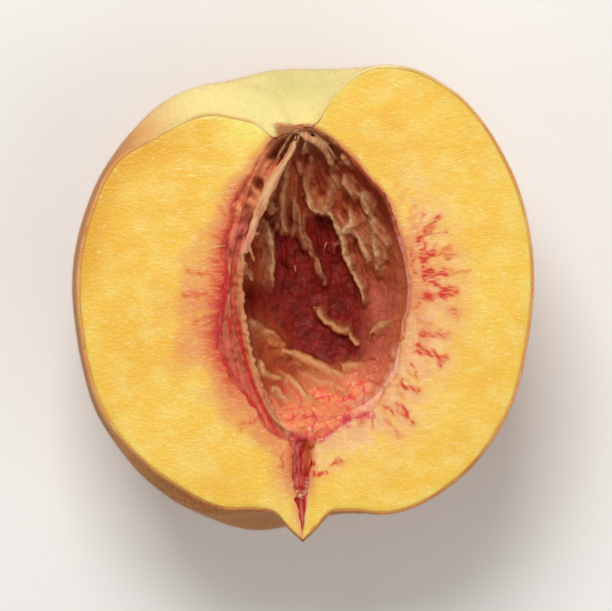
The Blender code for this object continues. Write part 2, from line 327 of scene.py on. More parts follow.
def curve_through(stations, x, closed=False):
    """A smooth curve through (position, value) stations, read at the positions x."""
    at, value = np.array(stations, dtype=float).T
    if closed:
        at = np.concatenate((at[-2:] - 360.0, at, at[:2] + 360.0))
        value = np.concatenate((value[-2:], value, value[:2]))
    slope = np.gradient(value, at)
    x = np.clip(x, at[0], at[-1])
    i = np.clip(np.searchsorted(at, x) - 1, 0, len(at) - 2)
    step = at[i + 1] - at[i]
    t = (x - at[i]) / step
    rise = value[i + 1] - value[i]
    start, end = slope[i] * step, slope[i + 1] * step
    return value[i] + t * start + t**2 * (3 * rise - 2 * start - end) + t**3 * (start + end - 2 * rise)


def round_curve(stations, angle):
    """A closed smooth curve through (angle, value) stations."""
    return curve_through(stations, angle, closed=True)


def ease(value, low, high):
    """0 at low, 1 at high, smooth between; low may be the larger."""
    t = np.clip((value - low) / (high - low), 0.0, 1.0)
    return t * t * (3 - 2 * t)


def between(value, outer_low, low, high, outer_high):
    """1 from low to high, easing to 0 at the outer limits."""
    return ease(value, outer_low, low) * ease(value, outer_high, high)


def hump(value, middle, width):
    """1 at the middle, falling away smoothly to both sides."""
    return np.exp(-(((value - middle) / width) ** 2))


def spot(xy, middle, spread):
    """1 at a place on the cut plane, falling away round it."""
    away = (xy - middle) / spread
    return np.exp(-(away[..., 0] ** 2) - away[..., 1] ** 2)


def facing(angle, middle, far, near):
    """1 near an angle about the stone, 0 where it is further off than far."""
    return ease(np.abs((angle - middle + 180.0) % 360.0 - 180.0), far, near)


def ripple(points, size, seed, waves=28):
    """Smooth noise of about unit height, with bumps of about the given size."""
    rng = np.random.default_rng(SEED + seed)
    points = np.asarray(points)
    directions = rng.normal(size=(waves, points.shape[-1]))
    directions /= np.linalg.norm(directions, axis=1, keepdims=True)
    pitch = rng.uniform(0.55, 1.5, waves) * math.pi / size
    phase = rng.uniform(0, 2 * math.pi, waves)
    total = np.zeros(points.shape[:-1])
    for direction, step, start in zip(directions, pitch, phase):
        total += np.sin(points @ direction * step + start)
    return total / math.sqrt(waves / 2.0)


def patches(points, size, seed, low=-1.0, high=0.8):
    """Soft-edged patches of noise, 0 to 1."""
    return ease(ripple(points, size, seed), low, high)


def sway(xy, size, seed, amount):
    """A small sideways shift by noise, which makes what is drawn with it wander."""
    return amount * np.stack((ripple(xy, size, seed), ripple(xy, size, seed + 1)), axis=-1)


def cells(xy, size, seed):
    """Irregular cells: how high a point is on its cell's dome, and how near to a cell's edge."""
    table = np.random.default_rng(SEED + seed).uniform(-0.4, 0.4, (64, 64, 2))
    home = np.floor(xy / size).astype(int)
    nearest = np.full(xy.shape[:-1], np.inf)
    second = nearest.copy()
    for step_x in (-1, 0, 1):
        for step_y in (-1, 0, 1):
            cell = home + (step_x, step_y)
            seat = (cell + 0.5 + table[cell[..., 0] % 64, cell[..., 1] % 64]) * size
            gap = np.linalg.norm(xy - seat, axis=-1)
            second = np.minimum(second, np.maximum(nearest, gap))
            nearest = np.minimum(nearest, gap)
    dome = np.clip(1.0 - (nearest / (0.75 * size)) ** 2, 0.0, 1.0)
    return dome, ease((second - nearest) / size, 0.22, 0.0)


def near_path(xy, path):
    """Distance to a path with its sign (left positive), and how far along it, 0 to 1."""
    path = np.array(path, dtype=float)[:, :2]
    steps = np.linalg.norm(np.diff(path, axis=0), axis=1)
    starts = np.concatenate(([0.0], np.cumsum(steps)))
    best = np.full(xy.shape[:-1], 1e9)
    side = np.ones(xy.shape[:-1])
    along = np.zeros(xy.shape[:-1])
    for a, b, start, step in zip(path[:-1], path[1:], starts, steps):
        line = b - a
        offset = xy - a
        part = np.clip((offset @ line) / (step * step), 0.0, 1.0)
        gap = np.hypot(*(offset - part[..., None] * line).T).T
        cross = line[0] * offset[..., 1] - line[1] * offset[..., 0]
        nearer = gap < best
        best = np.where(nearer, gap, best)
        side = np.where(nearer, np.sign(cross), side)
        along = np.where(nearer, (start + part * step) / starts[-1], along)
    return best * side, along


# ---------------------------------------------------------------------------
# The fruit's outer form

def skin_radius(swing, turn):
    """Distance of the skin from the middle, for angles from the tip and round the stem axis."""
    widening = FURROW_WIDENING / (1.0 + np.exp((FURROW_WIDENS_AT - swing) / FURROW_BLEND))
    furrow = hump(turn, 0.0, FURROW_WIDTH + widening)
    radius = curve_through(BODY_RADII, swing) - curve_through(FURROW_DEPTHS, swing) * furrow
    for height, at_swing, swing_spread, at_turn, turn_spread in CHEEK_SWELLS:
        along = ((swing - at_swing) / swing_spread) ** 2
        around = ((turn - at_turn) / turn_spread) ** 2
        radius = radius + height * np.exp(-along - around)
    return radius


def fruit_point(swing, turn, depth=0.0):
    """Points at a depth under the skin, in the direction of two angles."""
    radius = skin_radius(swing, turn) - depth
    swing, turn = np.radians(swing), np.radians(turn)
    return np.stack((-radius * np.sin(swing) * np.cos(turn),
                     -radius * np.cos(swing),
                     -radius * np.sin(swing) * np.sin(turn)), axis=-1)


def middle_of_fruit():
    """Where the fruit's middle lies in the frame, found by matching boxes."""
    swing, turn = np.meshgrid(np.linspace(0, 180, 361), np.linspace(0, 180, 181))
    points = fruit_point(swing, turn).reshape(-1, 3)
    low, high = np.array(CAD_BOX[0]), np.array(CAD_BOX[1])
    middle = (low + high) / 2 - (points.min(axis=0) + points.max(axis=0)) / 2 * MM
    middle[2] = high[2]
    return middle


FRUIT_MIDDLE = middle_of_fruit()
CUT_HEIGHT = (CAD_BOX[1][2] - CAD_BOX[0][2]) / MM


def fruit_to_frame(points):
    """Millimetres from the middle of the fruit as metres in the frame."""
    return np.asarray(points) * MM + FRUIT_MIDDLE


def rest_on_floor(points, clearance):
    """Presses the lowest cheek flat, with a soft turn where the flat spot begins."""
    floor = -CUT_HEIGHT + clearance
    lift = points[..., 2] - floor
    points[..., 2] = floor + 0.5 * (lift + np.sqrt(lift**2 + FLOOR_SOFTNESS**2)) - 0.5 * FLOOR_SOFTNESS
    points[..., 2] = np.maximum(points[..., 2], floor)
    return points


def inside_tip(xy, z):
    """Lifts hidden depths so that they stay inside the narrow tip of the fruit."""
    return np.maximum(z, -TIP_SLOPE * (xy[..., 1] + BODY_RADII[0][1]))


def even_swings(count, tip_boost=0.0):
    """Angles from tip to stem, closer together where the skin bends most."""
    fine = np.linspace(0.0, 180.0, 3601)
    crowd = 1.0 + 0.7 * np.cos(np.radians(2.0 * fine)) ** 2 + tip_boost * hump(fine, 0.0, 4.0)
    crowd = crowd + 1.2 * hump(fine, 180.0, 14.0)
    return spread_evenly(fine, crowd, count)


def spread_evenly(positions, crowd, count):
    """Picks count + 1 of the positions, closer together where the crowd is greater."""
    total = np.concatenate(([0.0], np.cumsum((crowd[1:] + crowd[:-1]) / 2)))
    return np.interp(np.linspace(0.0, total[-1], count + 1), total, positions)


def polar(xy):
    """Distance and angle of points about the stone's middle."""
    offset = xy - STONE_MIDDLE
    angle = np.degrees(np.arctan2(offset[..., 1], offset[..., 0])) % 360.0
    return np.hypot(offset[..., 0], offset[..., 1]), angle


def cut_outline(count, tip_boost=0.0):
    """Points round the cut face's outer edge: tip, furrow side, stem, far side."""
    swings = even_swings(count, tip_boost)
    left = fruit_point(swings, np.zeros_like(swings), SKIN_THICKNESS)
    right = fruit_point(swings[1:-1], np.full_like(swings[1:-1], 180.0), SKIN_THICKNESS)[::-1]
    return swings, np.concatenate((left, right))[:, :2]


def edge_finder(count=700):
    """A function that says, for angles about the stone, how far off the cut face ends."""
    _, outline = cut_outline(count)
    reach, at = polar(outline)
    order = np.argsort(at)
    return lambda angle: np.interp(angle, at[order], reach[order], period=360.0)


# ---------------------------------------------------------------------------
# The hollow's form

def flesh_rim(angle):
    """Radius of the torn inner edge of the cut flesh."""
    around = np.stack((np.cos(np.radians(angle)), np.sin(np.radians(angle))), axis=-1) * 16.0
    torn = 0.16 * ripple(around, 1.1, 1) + 0.12 * ripple(around, 3.0, 2)
    left, low_right = facing(angle, 190.0, 110.0, 60.0), facing(angle, 318.0, 36.0, 20.0)
    calm = 0.35 + 0.65 * np.maximum(left, 0.35 * low_right)
    return round_curve(FLESH_RIM_RADII, angle) + torn * calm * (1.0 - facing(angle, 96.0, 14.0, 6.0))


def stone_outline(angle):
    """Radius of the hollow's wall where it starts to fall away, just inside the torn rim."""
    return np.minimum(round_curve(STONE_RADII, angle), round_curve(FLESH_RIM_RADII, angle) - 0.3)


def bowl_depth(part, extra=0.0):
    """Depth of the smooth bowl at a share of the way out to its wall."""
    return (STONE_DEPTH + extra) * np.sqrt(np.clip(1.0 - part**BOWL_POWER, 0.0, 1.0))


def cleft_depth(xy):
    """Depth of the cleft at a point, and how far across it the point lies, 0 to 1 at its edge."""
    y, middle, half, depth = np.array(CLEFT).T
    at = xy[..., 1]
    across = np.abs(xy[..., 0] - np.interp(at, y, middle)) / np.interp(at, y, half)
    across = across * (1.0 + 0.22 * ripple(xy, 0.8, 72))
    sides = np.clip(1.0 - across**1.8, 0.0, 1.0)
    return np.interp(at, y, depth) * sides * ease(at, -18.0, -21.0), across


def cleft_wander(xy):
    """How far the cleft's torn edges stray sideways at a point."""
    y, _, half, _ = np.array(CLEFT).T
    slow = xy * (0.4, 1.0)
    stray = 0.3 * ripple(slow, 1.3, 79) + 0.16 * ripple(slow, 0.5, 80)
    width = np.interp(xy[..., 1], y, half) / 1.6 * ease(xy[..., 1], -20.5, -22.5)
    return stray * width * (np.abs(xy[..., 0]) < 4.0)


def beside_strand(xy):
    """How far left of the strand a point lies, how far down it, and fibres along it."""
    gap, along = near_path(xy, STRAND)
    lengthwise = ripple(np.stack((-gap, along * 8.0), axis=-1), 0.42, 56)
    return -gap, along, lengthwise


def left_band(xy):
    """Height of the sheet of torn flesh between the strand and the rim, and where it lies."""
    gap, along, lengthwise = beside_strand(xy)
    y = xy[..., 1]
    serrated = gap + 0.12 * ripple(xy, 0.5, 12)
    fold = 0.10 * lengthwise * ease(gap, 0.2, 1.0) - 0.45 * hump(gap, 1.4, 0.3)
    crest = 0.4 * hump(gap, 0.4, 0.4)
    knobs = ease(y, 8.0, 11.0) * (0.3 * ripple(xy, 1.3, 81) - 0.35 * patches(xy, 1.8, 82, 0.5, 1.2))
    height = -1.05 + crest + fold + 0.12 * ripple(xy, 0.8, 13) + knobs
    below = ease(y, 11.0, 9.0) * ease(gap, 9.0, 6.0) * (along < 0.995)
    upper = between(y, 8.8, 10.4, 21.0, 24.0) * ease(serrated, 0.3, 0.8)
    foot = 0.45 * ease(gap + 0.35 * ripple(xy, 1.6, 57), -1.7, -0.1) * below
    cliff = ease(serrated, -0.32, 0.05)
    return height, np.maximum(np.maximum(cliff * below, 0.85 * cliff * upper), foot)


def wall_depth(xy):
    """Height of the bare wall of the hollow below the cut plane, ledge and cleft included."""
    reach, angle = polar(xy)
    stone = stone_outline(angle)
    rim = round_curve(FLESH_RIM_RADII, angle)
    part = np.clip(reach / stone, 0.0, 1.0)
    shelf = 4.8 * spot(xy, (-0.2, -19.5), (6.5, 4.2))
    right = 1.6 * spot(xy, (11.5, -12.0), (4.0, 4.5))
    lip = -0.35 * (part < 1.0) * ease(part, 1.0, 0.9)
    across = np.clip((reach - stone) / np.maximum(rim - stone, 0.25), 0.0, 1.0)
    left = facing(angle, 190.0, 85.0, 65.0)
    ledge = -0.8 * left * np.sin(math.pi * across) * ease(rim - stone, 0.4, 1.6) - 0.25 * across
    bare = np.minimum(-bowl_depth(part) + shelf + right, lip) + ledge
    bare = bare - 0.6 * facing(angle, 117.0, 15.0, 8.0) * ease(rim - reach, 0.3, 1.4) * (part > 0.93)
    bare = bare - 1.5 * spot(xy, (10.8, -13.4), (1.5, 1.2))
    band, banded = left_band(xy)
    bare = bare + (np.maximum(band, bare) - bare) * banded
    cleft, _ = cleft_depth(xy)
    return np.minimum(bare, np.where(xy[..., 1] < -21.0, -cleft - 0.1, bare - 0.6 * cleft))


def ridge_field(xy):
    """Height of the ridges over the bare wall, nearness to a crest, and paleness of the faces."""
    height, crest, face = np.zeros((3,) + xy.shape[:-1])
    ragged = 1.0 + 0.06 * ripple(xy, 0.7, 3) + 0.08 * ripple(xy, 1.8, 4)
    warped = xy + sway(xy, 1.6, 5, 0.10) + sway(xy, 0.5, 50, 0.05)
    for path, start, end, steep, gentle, leans, pale in RIDGES:
        gap, along = near_path(warped, path)
        gap = gap * leans
        swell = (0.6 + 0.5 * np.sin(math.pi * (0.1 + 0.8 * along))) * (1.0 + 0.12 * ripple(xy, 2.2, 49))
        part = np.clip(np.abs(gap) / (np.where(gap > 0, gentle, steep) * swell), 0.0, 1.0)
        rise = (start + (end - start) * along) * ease(along, -0.15, 0.22) * ragged
        profile = np.where(gap > 0, (1.0 - part**1.3) ** 1.1, np.sqrt(1.0 - part**2))
        height = np.maximum(height, rise * profile)
        lit = pale * ease(rise, 0.3, 1.2)
        face = np.maximum(face, lit * np.where(gap > 0, (1.0 - part) ** 1.3, profile))
        crest = np.maximum(crest, hump(gap, 0.0, np.where(gap > 0, 0.25 * gentle, 0.28)) * lit)
    return height, crest, face


def bed_cells(xy):
    """The bumpy cells of the hollow's bed, larger towards the tip."""
    bent = xy + sway(xy, 1.4, 45, 0.25)
    dome, seam = cells(bent * (1.15, 0.95), 0.95, 47)
    low_dome, low_seam = cells(bent * (0.9, 1.1), 1.5, 48)
    low = ease(xy[..., 1], -11.0, -13.0)
    return dome + (low_dome - dome) * low, seam + (low_seam - seam) * low


def furrows(xy):
    """Low furrows fanning out from the stem end, with bumpy cells lower down."""
    x, y = xy[..., 0], STEM_END - xy[..., 1]
    lines = np.stack((np.arctan2(x, y) * 26.0, np.hypot(x, y) * 0.22), axis=-1)
    upper = ease(xy[..., 1], -1.0, 9.0)
    dome, _ = bed_cells(xy)
    bumps = (0.27 + 0.03 * upper + 0.45 * ease(xy[..., 1], -11.0, -15.0)) * dome
    return upper * 0.5 * np.clip(np.abs(ripple(lines, 0.9, 7)), 0, 1.5) + bumps + 0.15 * ripple(xy, 2.4, 8)


def hollow_surface(xy):
    """Height of the hollow's torn surface below the cut plane."""
    reach, angle = polar(xy)
    _, banded = left_band(xy)
    inside = ease(reach / stone_outline(angle), 1.0, 0.88) * (1.0 - banded) * ease(xy[..., 1], -21.0, -18.0)
    height, _, _ = ridge_field(xy)
    fibres = 0.22 * ripple(xy * (3.0, 0.6), 0.9, 14) * ease(xy[..., 1], -20.0, -22.0)
    return wall_depth(xy) + inside * (height + furrows(xy)) + 0.06 * ripple(xy, 0.9, 9) + fibres


# ---------------------------------------------------------------------------
# Making meshes

def mesh_object(name, points, faces):
    """A closed mesh object in the frame's metres, its faces turned outwards."""
    mesh = bpy.data.meshes.new(name)
    mesh.from_pydata(fruit_to_frame(points).tolist(), [], faces)
    bm = bmesh.new()
    bm.from_mesh(mesh)
    bmesh.ops.remove_doubles(bm, verts=bm.verts, dist=2e-6)
    bmesh.ops.recalc_face_normals(bm, faces=bm.faces)
    bm.to_mesh(mesh)
    bm.free()
    mesh.shade_smooth()
    return new_object(name, mesh)


def new_object(name, data):
    """A new object in the scene."""
    obj = bpy.data.objects.new(name, data)
    bpy.context.scene.collection.objects.link(obj)
    return obj


def grid_faces(rows, wrap=False):
    """Quads between neighbouring rows of vertex numbers."""
    rows = np.asarray(rows)
    if wrap:
        rows = np.concatenate((rows, rows[:, :1]), axis=1)
    quads = np.stack((rows[:-1, :-1], rows[:-1, 1:], rows[1:, 1:], rows[1:, :-1]), axis=-1)
    return quads.reshape(-1, 4).tolist()


def capped_faces(rows):
    """Quads round a stack of rings of vertex numbers, closed at both ends."""
    return grid_faces(rows, wrap=True) + [rows[0].tolist(), rows[-1][::-1].tolist()]


def in_fruit(obj):
    """The object's vertices in millimetres from the middle of the fruit."""
    points = np.empty(len(obj.data.vertices) * 3)
    obj.data.vertices.foreach_get("co", points)
    return (points.reshape(-1, 3) - FRUIT_MIDDLE) / MM


def paint(obj, **masks):
    """Stores named masks, one number per vertex, as attributes of the mesh."""
    for name, values in masks.items():
        layer = obj.data.attributes.new(name, "FLOAT", "POINT")
        layer.data.foreach_set("value", np.asarray(values, dtype=np.float32))


def settle(obj):
    """Turns the object's evaluated shape into its plain mesh and drops its modifiers."""
    evaluated = obj.evaluated_get(bpy.context.evaluated_depsgraph_get())
    mesh = bpy.data.meshes.new_from_object(evaluated)
    old = obj.data
    obj.modifiers.clear()
    obj.data = mesh
    bpy.data.meshes.remove(old)
    mesh.name = obj.name
    return obj


def belongs(obj):
    """Declares a finished piece of the fruit to the frame."""
    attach(obj, "root")
    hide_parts(NODE)
    return obj


def tube(path, radius, sides=8, flat=1.0, swell=((0.0, 1.0), (1.0, 1.0))):
    """A closed tapering tube through points; swell sets its girth along it."""
    path = np.array(path, dtype=float)
    steps = np.concatenate(([0.0], np.cumsum(np.linalg.norm(np.diff(path, axis=0), axis=1))))
    fine = np.linspace(0.0, steps[-1], max(6, int(steps[-1] / 0.35)))
    stations = [np.column_stack((steps, path[:, axis])) for axis in range(3)]
    line = np.column_stack([curve_through(station, fine) for station in stations])
    tangent = np.gradient(line, axis=0)
    tangent /= np.linalg.norm(tangent, axis=1, keepdims=True)
    across = np.cross(tangent, (0.0, 0.0, 1.0))
    across /= np.maximum(np.linalg.norm(across, axis=1, keepdims=True), 1e-6)
    upward = np.cross(across, tangent)
    turn = np.linspace(0.0, 2 * math.pi, sides, endpoint=False)
    part = fine / steps[-1]
    taper = np.maximum(np.minimum(1.0, 3.2 * np.sin(math.pi * np.clip(part, 0.02, 0.98)) + 0.1), 0.15)
    uneven = 1.0 + 0.08 * ripple(line, 1.5, 41) + 0.08 * ripple(line, 0.5, 85)
    girth = radius * taper * np.interp(part, *np.array(swell).T) * uneven
    ring = (across[:, None] * np.cos(turn)[None, :, None]
            + flat * upward[:, None] * np.sin(turn)[None, :, None])
    points = (line[:, None] + girth[:, None, None] * ring).reshape(-1, 3)
    return points, capped_faces(np.arange(len(points)).reshape(len(line), sides))


# ---------------------------------------------------------------------------
# Node trees

SOCKET_KINDS = {float: "NodeSocketFloat", int: "NodeSocketInt", tuple: "NodeSocketVector"}


def add(tree, kind, inputs=None, **settings):
    """A node with its settings and its inputs, each a value or another node's output."""
    node = tree.nodes.new(kind)
    for key, value in settings.items():
        setattr(node, key, value)
    for key, value in (inputs or {}).items():
        if isinstance(value, bpy.types.NodeSocket):
            tree.links.new(value, node.inputs[key])
        else:
            node.inputs[key].default_value = value
    return node


def math_node(tree, operation, a, b=0.5):
    return add(tree, "ShaderNodeMath", {0: a, 1: b}, operation=operation).outputs[0]


def product(tree, *factors):
    """The product of outputs and numbers."""
    total = factors[0]
    for factor in factors[1:]:
        total = math_node(tree, "MULTIPLY", total, factor)
    return total


def vector_node(tree, operation, a, b):
    return add(tree, "ShaderNodeVectorMath", {0: a, 1: b}, operation=operation).outputs[0]


def scaled(tree, vector, factor):
    """A vector times a number."""
    return add(tree, "ShaderNodeVectorMath", {0: vector, "Scale": factor}, operation="SCALE").outputs[0]


def smooth_range(tree, value, low, high):
    """0 at low and 1 at high, with soft ends."""
    return add(tree, "ShaderNodeMapRange", {"Value": value, "From Min": low, "From Max": high},
               interpolation_type="SMOOTHSTEP").outputs[0]


def noise_node(tree, place, seed, scale, detail):
    """Smooth noise at a place, different for each seed."""
    inputs = {"Vector": place, "W": seed, "Scale": scale, "Detail": detail}
    return add(tree, "ShaderNodeTexNoise", inputs, noise_dimensions="4D")


def stored(tree, name):
    """A mask that the mesh carries, in a Geometry Nodes tree."""
    node = add(tree, "GeometryNodeInputNamedAttribute", {"Name": name}, data_type="FLOAT")
    return node.outputs["Attribute"]


def add_socket(tree, name, kind, way="INPUT", default=None):
    """A named way into or out of a tree."""
    item = tree.interface.new_socket(name=name, in_out=way, socket_type=kind)
    if default is not None:
        item.default_value = default


def new_tree(name, kind, numbers):
    """A tree with named numbers going in, and those inputs."""
    tree = bpy.data.node_groups.new(name, kind)
    if kind == "GeometryNodeTree":
        add_socket(tree, "Geometry", "NodeSocketGeometry")
        add_socket(tree, "Material", "NodeSocketMaterial")
        add_socket(tree, "Geometry", "NodeSocketGeometry", "OUTPUT")
    else:
        add_socket(tree, "Mask", "NodeSocketFloat", "OUTPUT")
    for label, default in numbers.items():
        add_socket(tree, label, SOCKET_KINDS[type(default)], default=default)
    return tree, tree.nodes.new("NodeGroupInput").outputs


def end_tree(tree, given, geometry):
    """Ends a Geometry Nodes tree: real geometry, with its material."""
    real = add(tree, "GeometryNodeRealizeInstances", {0: geometry})
    dressed = add(tree, "GeometryNodeSetMaterial", {0: real.outputs[0], "Material": given["Material"]})
    add(tree, "NodeGroupOutput", {0: dressed.outputs[0]})
    return tree


def built_once(name):
    """Makes a tree's builder hand back the tree of that name when it is already there."""
    return lambda build: lambda: bpy.data.node_groups.get(name) or build(name)


def add_tree(obj, tree, **values):
    """Puts a tree on an object, its inputs set by their socket identifiers."""
    modifier = obj.modifiers.new(tree.name, "NODES")
    modifier.node_group = tree
    labels = {item.name: item.identifier for item in tree.interface.items_tree if item.in_out == "INPUT"}
    for label, value in values.items():
        modifier[labels[label.replace("_", " ")]] = value


@built_once("surface_relief")
def relief_tree(name):
    """Raises and lowers a surface along its normal by two sizes of noise, in millimetres."""
    tree, given = new_tree(name, "GeometryNodeTree", {
        "Wide Size": 4.0, "Wide Height": 0.05, "Fine Size": 0.8, "Fine Height": 0.02, "Seed": 0.0})
    normal = tree.nodes.new("GeometryNodeInputNormal").outputs[0]
    place = tree.nodes.new("GeometryNodeInputPosition").outputs[0]
    lifts = []
    for width in ("Wide", "Fine"):
        scale = math_node(tree, "DIVIDE", 1.0 / MM, given[width + " Size"])
        noise = noise_node(tree, place, given["Seed"], scale, 2.0).outputs["Fac"]
        lifts.append(product(tree, math_node(tree, "SUBTRACT", noise, 0.5), given[width + " Height"]))
    total = product(tree, math_node(tree, "ADD", *lifts), 2.0 * MM, stored(tree, "relief"))
    moved = add(tree, "GeometryNodeSetPosition", {"Geometry": given["Geometry"],
                                                  "Offset": scaled(tree, normal, total)})
    return end_tree(tree, given, moved.outputs[0])


@built_once("velvet_down")
def down_tree(name):
    """Short tapered hairs standing on a surface, thinned by the surface's own mask."""
    tree, given = new_tree(name, "GeometryNodeTree", {
        "Density": 5e6, "Hair Length": 0.0005, "Hair Width": 0.00003, "Lean": 0.5, "Seed": 0})
    density = product(tree, stored(tree, "downy"), given["Density"])
    scatter = add(tree, "GeometryNodeDistributePointsOnFaces",
                  {"Mesh": given["Geometry"], "Density": density, "Seed": given["Seed"]},
                  distribute_method="RANDOM")
    hair = add(tree, "GeometryNodeMeshCone", {"Vertices": 3, "Radius Top": 0.0, "Depth": given["Hair Length"],
                                              "Radius Bottom": given["Hair Width"]}, fill_type="NGON")
    back = product(tree, given["Lean"], -1.0)
    low = add(tree, "ShaderNodeCombineXYZ", {0: back, 1: back, 2: -3.2}).outputs[0]
    high = add(tree, "ShaderNodeCombineXYZ", {0: given["Lean"], 1: given["Lean"], 2: 3.2}).outputs[0]
    tilt = add(tree, "FunctionNodeRandomValue", {"Min": low, "Max": high, "Seed": given["Seed"]},
               data_type="FLOAT_VECTOR").outputs["Value"]
    by = add(tree, "FunctionNodeEulerToRotation", {0: tilt}).outputs[0]
    turned = add(tree, "FunctionNodeRotateRotation",
                 {"Rotation": scatter.outputs["Rotation"], "Rotate By": by},
                 rotation_space="LOCAL").outputs[0]
    size = add(tree, "FunctionNodeRandomValue", {2: 0.35, 3: 1.0, "Seed": given["Seed"]},
               data_type="FLOAT").outputs[1]
    placed = add(tree, "GeometryNodeInstanceOnPoints",
                 {"Points": scatter.outputs["Points"], "Instance": hair.outputs["Mesh"],
                  "Rotation": turned, "Scale": size})
    return end_tree(tree, given, placed.outputs[0])


@built_once("flesh_threads")
def thread_tree(name):
    """Turns the edges of a wire mesh into tapering threads laid on the cut face."""
    tree, given = new_tree(name, "GeometryNodeTree", {
        "Thickness": 0.0001, "Sides": 6, "Spacing": 0.0003, "Wander": 0.0002, "Seed": 0.0})
    lines = add(tree, "GeometryNodeMeshToCurve", {0: given["Geometry"]})
    smooth = add(tree, "GeometryNodeCurveSplineType", {0: lines.outputs[0]}, spline_type="CATMULL_ROM")
    fine = add(tree, "GeometryNodeResampleCurve", {"Curve": smooth.outputs[0], "Length": given["Spacing"]},
               mode="LENGTH")
    place = tree.nodes.new("GeometryNodeInputPosition").outputs[0]
    noise = noise_node(tree, place, given["Seed"], 900.0, 2.0).outputs["Color"]
    shift = scaled(tree, vector_node(tree, "SUBTRACT", noise, (0.5, 0.5, 0.5)), given["Wander"])
    flat_shift = vector_node(tree, "MULTIPLY", shift, (2.0, 2.0, 0.3))
    swayed = add(tree, "GeometryNodeSetPosition", {0: fine.outputs[0], "Offset": flat_shift})
    part = tree.nodes.new("GeometryNodeSplineParameter").outputs["Factor"]
    arch = math_node(tree, "SINE", product(tree, part, math.pi))
    taper = math_node(tree, "POWER", math_node(tree, "MAXIMUM", arch, 0.02), 0.6)
    radius = product(tree, taper, stored(tree, "girth"), given["Thickness"])
    ring = add(tree, "GeometryNodeCurvePrimitiveCircle", {"Resolution": given["Sides"], "Radius": 1.0})
    thread = add(tree, "GeometryNodeCurveToMesh", {"Curve": swayed.outputs[0], "Fill Caps": True,
                                                   "Profile Curve": ring.outputs[0], "Scale": radius})
    return end_tree(tree, given, thread.outputs[0])


@built_once("mottle")
def mottle_group(name):
    """Noise of a stated size in millimetres, stretched along x or y, as a 0 to 1 mask."""
    tree, given = new_tree(name, "ShaderNodeTree", {
        "Size": 3.0, "Stretch": (1.0, 1.0, 1.0), "Detail": 3.0, "From": 0.35, "To": 0.65, "Seed": 0.0})
    place = add(tree, "ShaderNodeTexCoord").outputs["Object"]
    place = vector_node(tree, "DIVIDE", place, given["Stretch"])
    scale = math_node(tree, "DIVIDE", 1.0 / MM, given["Size"])
    noise = noise_node(tree, place, given["Seed"], scale, given["Detail"]).outputs["Fac"]
    add(tree, "NodeGroupOutput", {0: smooth_range(tree, noise, given["From"], given["To"])})
    return tree


@built_once("vein_net")
def net_group(name):
    """A loose net of fine wandering veins of a stated size in millimetres, as a 0 to 1 mask."""
    tree, given = new_tree(name, "ShaderNodeTree", {"Size": 1.2, "Line": 0.03, "Seed": 0.0})
    place = add(tree, "ShaderNodeTexCoord").outputs["Object"]
    scale = math_node(tree, "DIVIDE", 1.0 / MM, given["Size"])
    lines = []
    for shift in (0.0, 7.0):
        seed = math_node(tree, "ADD", given["Seed"], shift)
        noise = noise_node(tree, place, seed, scale, 1.5).outputs["Fac"]
        off = math_node(tree, "ABSOLUTE", math_node(tree, "SUBTRACT", noise, 0.5))
        lines.append(smooth_range(tree, off, given["Line"], 0.0))
    add(tree, "NodeGroupOutput", {0: math_node(tree, "MAXIMUM", *lines)})
    return tree


# ---------------------------------------------------------------------------
# Materials

def tint(red, green, blue):
    """A linear colour from its display values, 0 to 255."""
    return tuple((c / 255 / 12.92) if c / 255 <= 0.04045 else ((c / 255 + 0.055) / 1.055) ** 2.4
                 for c in (red, green, blue))


def mottle(size, low=0.35, high=0.65, detail=3.0, seed=0.0, stretch=(1.0, 1.0, 1.0)):
    """The inputs of a mottle group."""
    return {"Size": size, "From": low, "To": high, "Stretch": stretch, "Detail": detail, "Seed": seed}


def vein_net(size, line, seed):
    """The inputs of a vein net group."""
    return {"Size": size, "Line": line, "Seed": seed}


def set_inputs(node, inputs):
    for key, value in inputs.items():
        node.inputs[key.replace("_", " ")].default_value = value


class Paint:
    """Builds up one material: a colour in layers, then roughness, bump and fixed settings."""

    def __init__(self, name, base):
        self.material = bpy.data.materials.new(name)
        self.material.use_nodes = True
        self.tree = self.material.node_tree
        self.shader = self.tree.nodes["Principled BSDF"]
        self.colour = (*base, 1.0)
        self.shader.inputs["Base Color"].default_value = self.colour

    def mask(self, part):
        """An attribute's mask, a mottle, a vein net, or a plain number."""
        if isinstance(part, str):
            return add(self.tree, "ShaderNodeAttribute", attribute_name=part).outputs["Fac"]
        if isinstance(part, dict):
            group = net_group() if "Line" in part else mottle_group()
            node = add(self.tree, "ShaderNodeGroup", node_tree=group)
            set_inputs(node, part)
            return node.outputs[0]
        return part

    def lay(self, colour, *parts):
        """Lays a colour over what is there, as far as the product of the masks says."""
        cover = product(self.tree, *(self.mask(part) for part in parts))
        mix = add(self.tree, "ShaderNodeMix", data_type="RGBA", clamp_factor=True)
        for index, value in ((0, cover), (6, self.colour), (7, (*colour, 1.0))):
            if isinstance(value, bpy.types.NodeSocket):
                self.tree.links.new(value, mix.inputs[index])
            else:
                mix.inputs[index].default_value = value
        self.colour = mix.outputs[2]
        self.tree.links.new(self.colour, self.shader.inputs["Base Color"])

    def roughen(self, grain, low, high):
        """Varies the roughness between two values by a mottle."""
        inputs = {"Value": self.mask(grain), "To Min": low, "To Max": high}
        rough = add(self.tree, "ShaderNodeMapRange", inputs, interpolation_type="SMOOTHSTEP")
        self.tree.links.new(rough.outputs[0], self.shader.inputs["Roughness"])

    def emboss(self, grain, height):
        """Gives the surface a fine bump, its height in millimetres."""
        bump = add(self.tree, "ShaderNodeBump", {"Height": self.mask(grain), "Strength": 1.0,
                                                 "Distance": height * MM})
        self.tree.links.new(bump.outputs[0], self.shader.inputs["Normal"])


